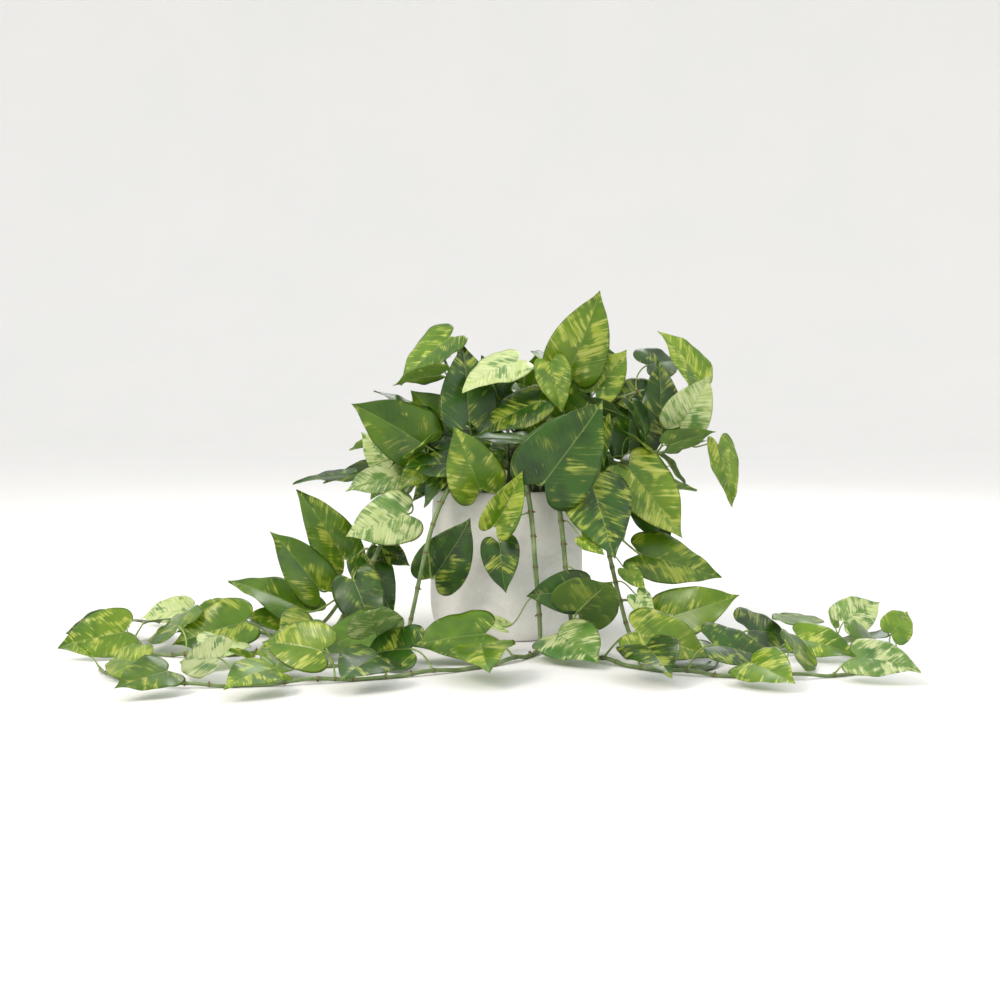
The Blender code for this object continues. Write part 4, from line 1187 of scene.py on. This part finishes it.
def leafMaterial(tone, under):
    # a waxy living leaf: green, with splashes that run out along its side veins, and light glowing through it
    codes, start = leafLooks[tone]
    made, tree = newMaterial(f"{tone}Leaf{'Underside' if under else 'Blade'}")
    size = leafFinish["bladeLength"]
    onLeaf = addNode(tree, "ShaderNodeAttribute", {"attribute_name": "leafPlace"}).outputs["Vector"]
    parts = addNode(tree, "ShaderNodeSeparateXYZ", {}, {"Vector": onLeaf})
    along, across, seed = parts.outputs
    out = addNode(tree, "ShaderNodeMath", {"operation": "ABSOLUTE"}, {0: across})
    sign = addNode(tree, "ShaderNodeMath", {"operation": "SIGN"}, {0: across})
    half = addNode(tree, "ShaderNodeMath", {"operation": "MULTIPLY_ADD"}, {0: sign, 1: 3.7, 2: seed})
    vein = addNode(
        tree, "ShaderNodeMath", {"operation": "MULTIPLY_ADD"}, {0: out, 1: -leaves["veinLean"], 2: along}
    )

    def leafNoise(first, firstSize, second, secondSize, shift, detail, twist):
        # noise of these sizes along two of the leaf's own directions, different on each half and leaf
        x = addNode(tree, "ShaderNodeMath", {"operation": "MULTIPLY"}, {0: first, 1: size / firstSize})
        y = addNode(tree, "ShaderNodeMath", {"operation": "MULTIPLY"}, {0: second, 1: size / secondSize})
        z = addNode(tree, "ShaderNodeMath", {"operation": "ADD"}, {0: half, 1: shift})
        where = addNode(tree, "ShaderNodeCombineXYZ", {}, {"X": x, "Y": y, "Z": z})
        return addNode(
            tree, "ShaderNodeTexNoise", {},
            {"Vector": where, "Scale": 1.0, "Detail": detail, "Roughness": 0.6, "Distortion": twist},
        ).outputs[0]

    width, length, patch, drift = (
        leafFinish[k] for k in ("streakWidth", "streakLength", "patchSize", "shadeSize")
    )
    sideStreaks = leafNoise(vein, width, out, length, 0.0, 5.0, 1.1)
    longStreaks = leafNoise(out, width, along, length, 17.0, 4.0, 0.9)
    patches = leafNoise(along, patch, out, patch, 31.0, 1.0, 0.6)
    shading = leafNoise(along, drift, out, drift, 47.0, 2.0, 0.3)
    chance = addNode(tree, "ShaderNodeTexWhiteNoise", {"noise_dimensions": "1D"}, {"W": seed})
    streaks = addNode(tree, "ShaderNodeMix", {}, {"Factor": 0.14, "A": sideStreaks, "B": longStreaks})
    field = addNode(tree, "ShaderNodeMix", {}, {"Factor": 0.5, "A": streaks, "B": patches})
    # some leaves are nearly plain, and others are splashed all over
    lean = addNode(
        tree, "ShaderNodeMapRange", {},
        {"Value": chance.outputs["Value"], "To Min": -0.06, "To Max": 0.055},
    )
    field = addNode(tree, "ShaderNodeMath", {"operation": "ADD"}, {0: field, 1: lean})
    green = addNode(
        tree, "ShaderNodeValToRGB", {"stops": [(0.34, codes[0]), (0.62, codes[1])]}, {"Fac": shading}
    )
    splash = addNode(
        tree, "ShaderNodeValToRGB", {"stops": [(0.46, codes[2]), (0.68, codes[3])]}, {"Fac": sideStreaks}
    )
    # a splash has a feathered edge, and a faint halo round it; the midrib and the margin stand out a
    # little paler, and the side veins barely
    veinRun = addNode(tree, "ShaderNodeMath", {"operation": "MULTIPLY"}, {0: vein, 1: float(leaves["veins"])})
    veinGap = addNode(tree, "ShaderNodeMath", {"operation": "PINGPONG"}, {0: veinRun, 1: 0.5})
    edgeAt = addNode(tree, "ShaderNodeAttribute", {"attribute_name": "leafEdge"}).outputs["Fac"]
    core, halo, rib, veinLine, margin = (
        addNode(
            tree, "ShaderNodeMapRange", {"interpolation_type": "SMOOTHSTEP"},
            {"Value": read, "From Min": low, "From Max": high, "To Min": atLow, "To Max": atHigh},
        )
        for read, low, high, atLow, atHigh in (
            (field, start - 0.02, start + 0.03, 0.0, 0.9),
            (field, start - 0.06, start, 0.0, 0.26),
            (out, 0.003, 0.013, 0.34, 0.0),
            (veinGap, 0.0, 0.16, 0.03, 0.0),
            (edgeAt, 0.965, 1.0, 0.0, 0.35),
        )
    )
    covered = addNode(tree, "ShaderNodeMath", {"operation": "MAXIMUM"}, {0: core, 1: halo})
    lines = addNode(tree, "ShaderNodeMath", {"operation": "MAXIMUM"}, {0: rib, 1: veinLine})
    tint = green
    for share, layer in (
        (covered, splash), (lines, colour("#a9bb66")), (margin, colour("#b5c27a")),
    ):
        tint = addNode(
            tree, "ShaderNodeMix", {"data_type": "RGBA"}, {0: share, 6: tint, 7: layer}
        ).outputs[2]
    # each leaf has its own shade
    shade = addNode(tree, "ShaderNodeSeparateXYZ", {}, {"Vector": chance.outputs["Color"]})
    value = addNode(
        tree, "ShaderNodeMapRange", {}, {"Value": shade.outputs["Y"], "To Min": 0.82, "To Max": 1.18}
    )
    final = addNode(tree, "ShaderNodeHueSaturation", {}, {"Value": value, "Color": tint}).outputs["Color"]
    if under:
        final = addNode(
            tree, "ShaderNodeMix", {"data_type": "RGBA"}, {0: 0.4, 6: final, 7: colour("#86a062")}
        ).outputs[2]
    place = addNode(tree, "ShaderNodeTexCoord").outputs["Object"]
    cells = addNode(
        tree, "ShaderNodeTexNoise", {},
        {"Vector": place, "Scale": 1 / leafFinish["cellSize"], "Detail": 2.0},
    )
    relief = addNode(tree, "ShaderNodeMath", {"operation": "MULTIPLY_ADD"}, {0: veinLine, 1: -14.0, 2: cells})
    bump = addNode(
        tree, "ShaderNodeBump", {"invert": under},
        {"Height": relief, "Strength": 0.3, "Distance": 0.2 * mm},
    )
    shader = addNode(
        tree, "ShaderNodeBsdfPrincipled", {},
        {
            "Base Color": final, "Normal": bump,
            "Roughness": 0.62 if under else leafFinish["roughness"],
            "Specular IOR Level": 0.35 if under else 0.5,
            "Coat Weight": 0.0 if under else leafFinish["coat"], "Coat Roughness": 0.2,
        },
    )
    glow = addNode(
        tree, "ShaderNodeHueSaturation", {}, {"Hue": 0.49, "Saturation": 1.1, "Value": 1.4, "Color": final}
    )
    behind = addNode(tree, "ShaderNodeBsdfTranslucent", {}, {"Color": glow})
    both = addNode(tree, "ShaderNodeMixShader", {}, {0: leafFinish["through"], 1: shader, 2: behind})
    addNode(tree, "ShaderNodeOutputMaterial", {}, {"Surface": both})
    return made


def stalkMaterial(name, dark, usual, light, nodeCode=None):
    # a fresh green stalk: smooth and slightly waxy, with fine darker lines along it
    made, tree = newMaterial(name)
    onStalk = addNode(
        tree, "ShaderNodeAttribute", {"attribute_name": "stemPlace" if nodeCode else "leafPlace"}
    ).outputs["Vector"]
    place = addNode(tree, "ShaderNodeTexCoord").outputs["Object"]
    patches = addNode(
        tree, "ShaderNodeTexNoise", {}, {"Vector": place, "Scale": 1 / (18 * mm), "Detail": 3.0}
    )
    stretched = addNode(
        tree, "ShaderNodeVectorMath", {"operation": "MULTIPLY"},
        {0: onStalk, 1: (40.0, 14.0, 1.0) if nodeCode else (1.5, 12.0, 1.0)},
    )
    lines = addNode(tree, "ShaderNodeTexNoise", {}, {"Vector": stretched, "Scale": 1.0, "Detail": 2.0})
    mixed = addNode(tree, "ShaderNodeMix", {}, {"Factor": 0.5, "A": patches, "B": lines})
    tint = addNode(
        tree, "ShaderNodeValToRGB", {"stops": [(0.34, dark), (0.5, usual), (0.66, light)]}, {"Fac": mixed}
    ).outputs[0]
    if nodeCode:
        near = addNode(tree, "ShaderNodeAttribute", {"attribute_name": "stemNode"}).outputs["Fac"]
        tint = addNode(
            tree, "ShaderNodeMix", {"data_type": "RGBA"}, {0: near, 6: tint, 7: colour(nodeCode)}
        ).outputs[2]
    bump = addNode(tree, "ShaderNodeBump", {}, {"Height": lines, "Strength": 0.5, "Distance": 0.3 * mm})
    shader = addNode(
        tree, "ShaderNodeBsdfPrincipled", {},
        {"Base Color": tint, "Roughness": 0.48, "Normal": bump},
    )
    addNode(tree, "ShaderNodeOutputMaterial", {}, {"Surface": shader})
    return made


def barkMaterial():
    # the dry brown skin of a leaf scar or an aerial root: corky and matt
    made, tree = newMaterial("corkyNodeSkin")
    place = addNode(tree, "ShaderNodeTexCoord").outputs["Object"]
    grain = addNode(tree, "ShaderNodeTexNoise", {}, {"Vector": place, "Scale": 1 / (1.2 * mm), "Detail": 4.0})
    tint = addNode(
        tree, "ShaderNodeValToRGB", {"stops": [(0.35, "#4a3420"), (0.55, "#775737"), (0.7, "#9a7d54")]},
        {"Fac": grain},
    )
    bump = addNode(tree, "ShaderNodeBump", {}, {"Height": grain, "Strength": 0.7, "Distance": 0.3 * mm})
    shader = addNode(
        tree, "ShaderNodeBsdfPrincipled", {}, {"Base Color": tint, "Roughness": 0.85, "Normal": bump}
    )
    addNode(tree, "ShaderNodeOutputMaterial", {}, {"Surface": shader})
    return made


def makeLeaves(placed):
    stalk = stalkMaterial("leafStalk", "#5b7430", "#7d9645", "#a5b76a")
    finishes = {tone: [leafMaterial(tone, under) for under in (False, True)] + [stalk] for tone in tones}
    for number, (name, _, leaf, tone, isNode) in enumerate(placed):
        mesh = leafMesh(camelName(name), leaf, number * 1.37)
        piece = addPiece(camelName(name), mesh, finishes[tone])
        keepPiece(piece, f"{tone}_leaf", *([name] if isNode else []))
    print(f"{len(placed)} leaves done")


# Stems, with a swollen, ringed node wherever a leaf leaves them


def nodeLengths(path, attached, seed):
    # where the stem has nodes: at its leaves, and about evenly between them
    draw = random.Random(seed).uniform
    total = lengthsAlong(path)[-1]
    found = sorted(set(a for a in attached if a > 20 * mm))
    length = 40 * mm
    while length < total - 6 * mm:
        if all(abs(length - a) > 13 * mm for a in found):
            found.append(length)
        length += stems["nodeSpacing"] * draw(0.8, 1.2)
    return sorted(found)


def stemMesh(name, path, nodes, seed):
    total = lengthsAlong(path)[-1]
    rings = int(total / stems["fineStep"])
    sides = stems["sides"]
    points, place, near, held = [], [], [], Vector((0, -1, 0))
    for index in range(rings + 1):
        length = total * index / rings
        point, direction, radius = atLength(path, length)
        closest = min((abs(length - node) for node in nodes), default=1)
        node = math.exp(-((closest / stems["nodeWidth"]) ** 2))
        taper = min(1, 0.25 + (total - length) / (9 * mm))
        held = (held - held.dot(direction) * direction).normalized()
        left = direction.cross(held)
        for k in range(sides):
            a = math.pi - math.tau / sides * k
            ridge = 1 + 0.035 * math.sin(5 * a + seed) + stems["nodeSwelling"] * node
            points.append(point + radius * taper * ridge * (math.sin(a) * held - math.cos(a) * left))
            place.append((length, k / sides, seed))
            near.append(0.75 * math.exp(-((closest / (1.6 * mm)) ** 2)))
    tip, direction, _ = atLength(path, total)
    points += [path[0][0], tip + direction * 1.5 * mm]
    for point in points:
        point.z = max(point.z, gap)
    place += [(0, 0, seed), (total, 0, seed)]
    near += [0, 0]
    mesh = bpy.data.meshes.new(name)
    mesh.from_pydata(points, [], loftFaces(rings + 1, sides, len(points) - 2, len(points) - 1))
    setAttribute(mesh, "stemPlace", "FLOAT_VECTOR", place)
    setAttribute(mesh, "stemNode", "FLOAT", near)
    return mesh


# the brown ring and the pegs at each node, in terms of the stem's radius there
collars = {"Ring Size": 1.14, "Ring Thickness": 0.16, "Peg Length": 1.5, "Peg Radius": 0.5}


def collarTree():
    # each point of the seed mesh is a node of the stem, with the stem's direction and radius as attributes
    tree, identifiers, given, result = treeWithInputs(
        "nodeCollars", {**{title: "Float" for title in collars}, "Finish": "Material"}
    )
    wanted = given.outputs
    direction, radius = (
        addNode(
            tree, "GeometryNodeInputNamedAttribute", {"data_type": kind}, {"Name": name}
        ).outputs["Attribute"]
        for kind, name in (("FLOAT_VECTOR", "direction"), ("FLOAT", "radius"))
    )
    facing = addNode(tree, "FunctionNodeAlignRotationToVector", {"axis": "Z"}, {"Vector": direction})
    path, section = (
        addNode(tree, "GeometryNodeCurvePrimitiveCircle", {}, {"Resolution": sides, "Radius": wanted[size]})
        for sides, size in ((14, "Ring Size"), (5, "Ring Thickness"))
    )
    ring = addNode(tree, "GeometryNodeCurveToMesh", {}, {"Curve": path, "Profile Curve": section})
    parts = [addNode(
        tree, "GeometryNodeInstanceOnPoints", {},
        {"Points": wanted["Geometry"], "Instance": ring, "Rotation": facing, "Scale": radius},
    )]
    for number in range(2):
        # a short peg of an aerial root, out of the node's side
        peg = addNode(
            tree, "GeometryNodeMeshCone", {"fill_type": "NGON"},
            {"Vertices": 7, "Side Segments": 2, "Radius Top": 0.26, "Radius Bottom": wanted["Peg Radius"],
             "Depth": wanted["Peg Length"]},
        )
        laid = addNode(
            tree, "GeometryNodeTransform", {},
            {"Geometry": peg, "Translation": (0.55, 0.0, 0.0), "Rotation": (0.0, 1.3, 0.0)},
        )
        spin = addNode(
            tree, "FunctionNodeRandomValue", {"data_type": "FLOAT"},
            {"Min": 0.0, "Max": math.tau, "Seed": number + 3},
        )
        turn = addNode(tree, "ShaderNodeCombineXYZ", {}, {"Z": spin.outputs["Value"]})
        turned = addNode(
            tree, "FunctionNodeRotateRotation", {"rotation_space": "LOCAL"},
            {"Rotation": facing, "Rotate By": turn},
        )
        chance = addNode(
            tree, "FunctionNodeRandomValue", {"data_type": "BOOLEAN"},
            {"Probability": 0.6, "Seed": number + 11},
        )
        parts.append(addNode(
            tree, "GeometryNodeInstanceOnPoints", {},
            {"Points": wanted["Geometry"], "Instance": laid, "Rotation": turned, "Scale": radius,
             "Selection": chance.outputs["Value"]},
        ))
    joined = addNode(tree, "GeometryNodeJoinGeometry")
    for part in parts:
        tree.links.new(part.outputs[0], joined.inputs[0])
    # nothing sinks into the surface that the stem lies on
    finishTree(tree, joined, wanted["Finish"], result, lowest=gap)
    return tree, identifiers


def makeStems(plainPaths, placed):
    green = stalkMaterial("greenStem", "#4c6636", "#6c824b", "#93a370", "#5e4a2e")
    bark = barkMaterial()
    tree, identifiers = collarTree()
    for number, (name, route) in enumerate({**vines, **shoots}.items()):
        radii = stems["vineRadii"] if name in vines else stems["shootRadii"]
        path = stemPath(route, radii, 8)
        ratio = lengthsAlong(path)[-1] / lengthsAlong(plainPaths[name])[-1]
        attached = [leaf["attach"] * ratio for _, stem, leaf, _, _ in placed if stem == name]
        nodes = nodeLengths(path, attached, number)
        piece = addPiece(camelName(name), stemMesh(camelName(name), path, nodes, number * 2.3), [green])
        keepPiece(piece, "green_stem", name)

        spots = [atLength(path, length) for length in nodes]
        seedMesh = bpy.data.meshes.new("nodes")
        seedMesh.from_pydata([point for point, _, _ in spots], [], [])
        setAttribute(seedMesh, "direction", "FLOAT_VECTOR", [direction for _, direction, _ in spots])
        setAttribute(seedMesh, "radius", "FLOAT", [radius for _, _, radius in spots])
        values = {**collars, "Finish": bark}
        rings = grownMesh(camelName(name) + "Nodes", seedMesh, tree, identifiers, values)
        keepPiece(addPiece(camelName(name) + "Nodes", rings, []), "green_stem")
    print("stems done")


makeStudio()
makePot()
makeSoil()
plainPaths = {name: stemPath(route, stems["vineRadii"], 2) for name, route in vines.items()}
plainPaths |= {name: stemPath(route, stems["shootRadii"], 2) for name, route in shoots.items()}
placed = placeLeaves(plainPaths)
makeStems(plainPaths, placed)
makeLeaves(placed)
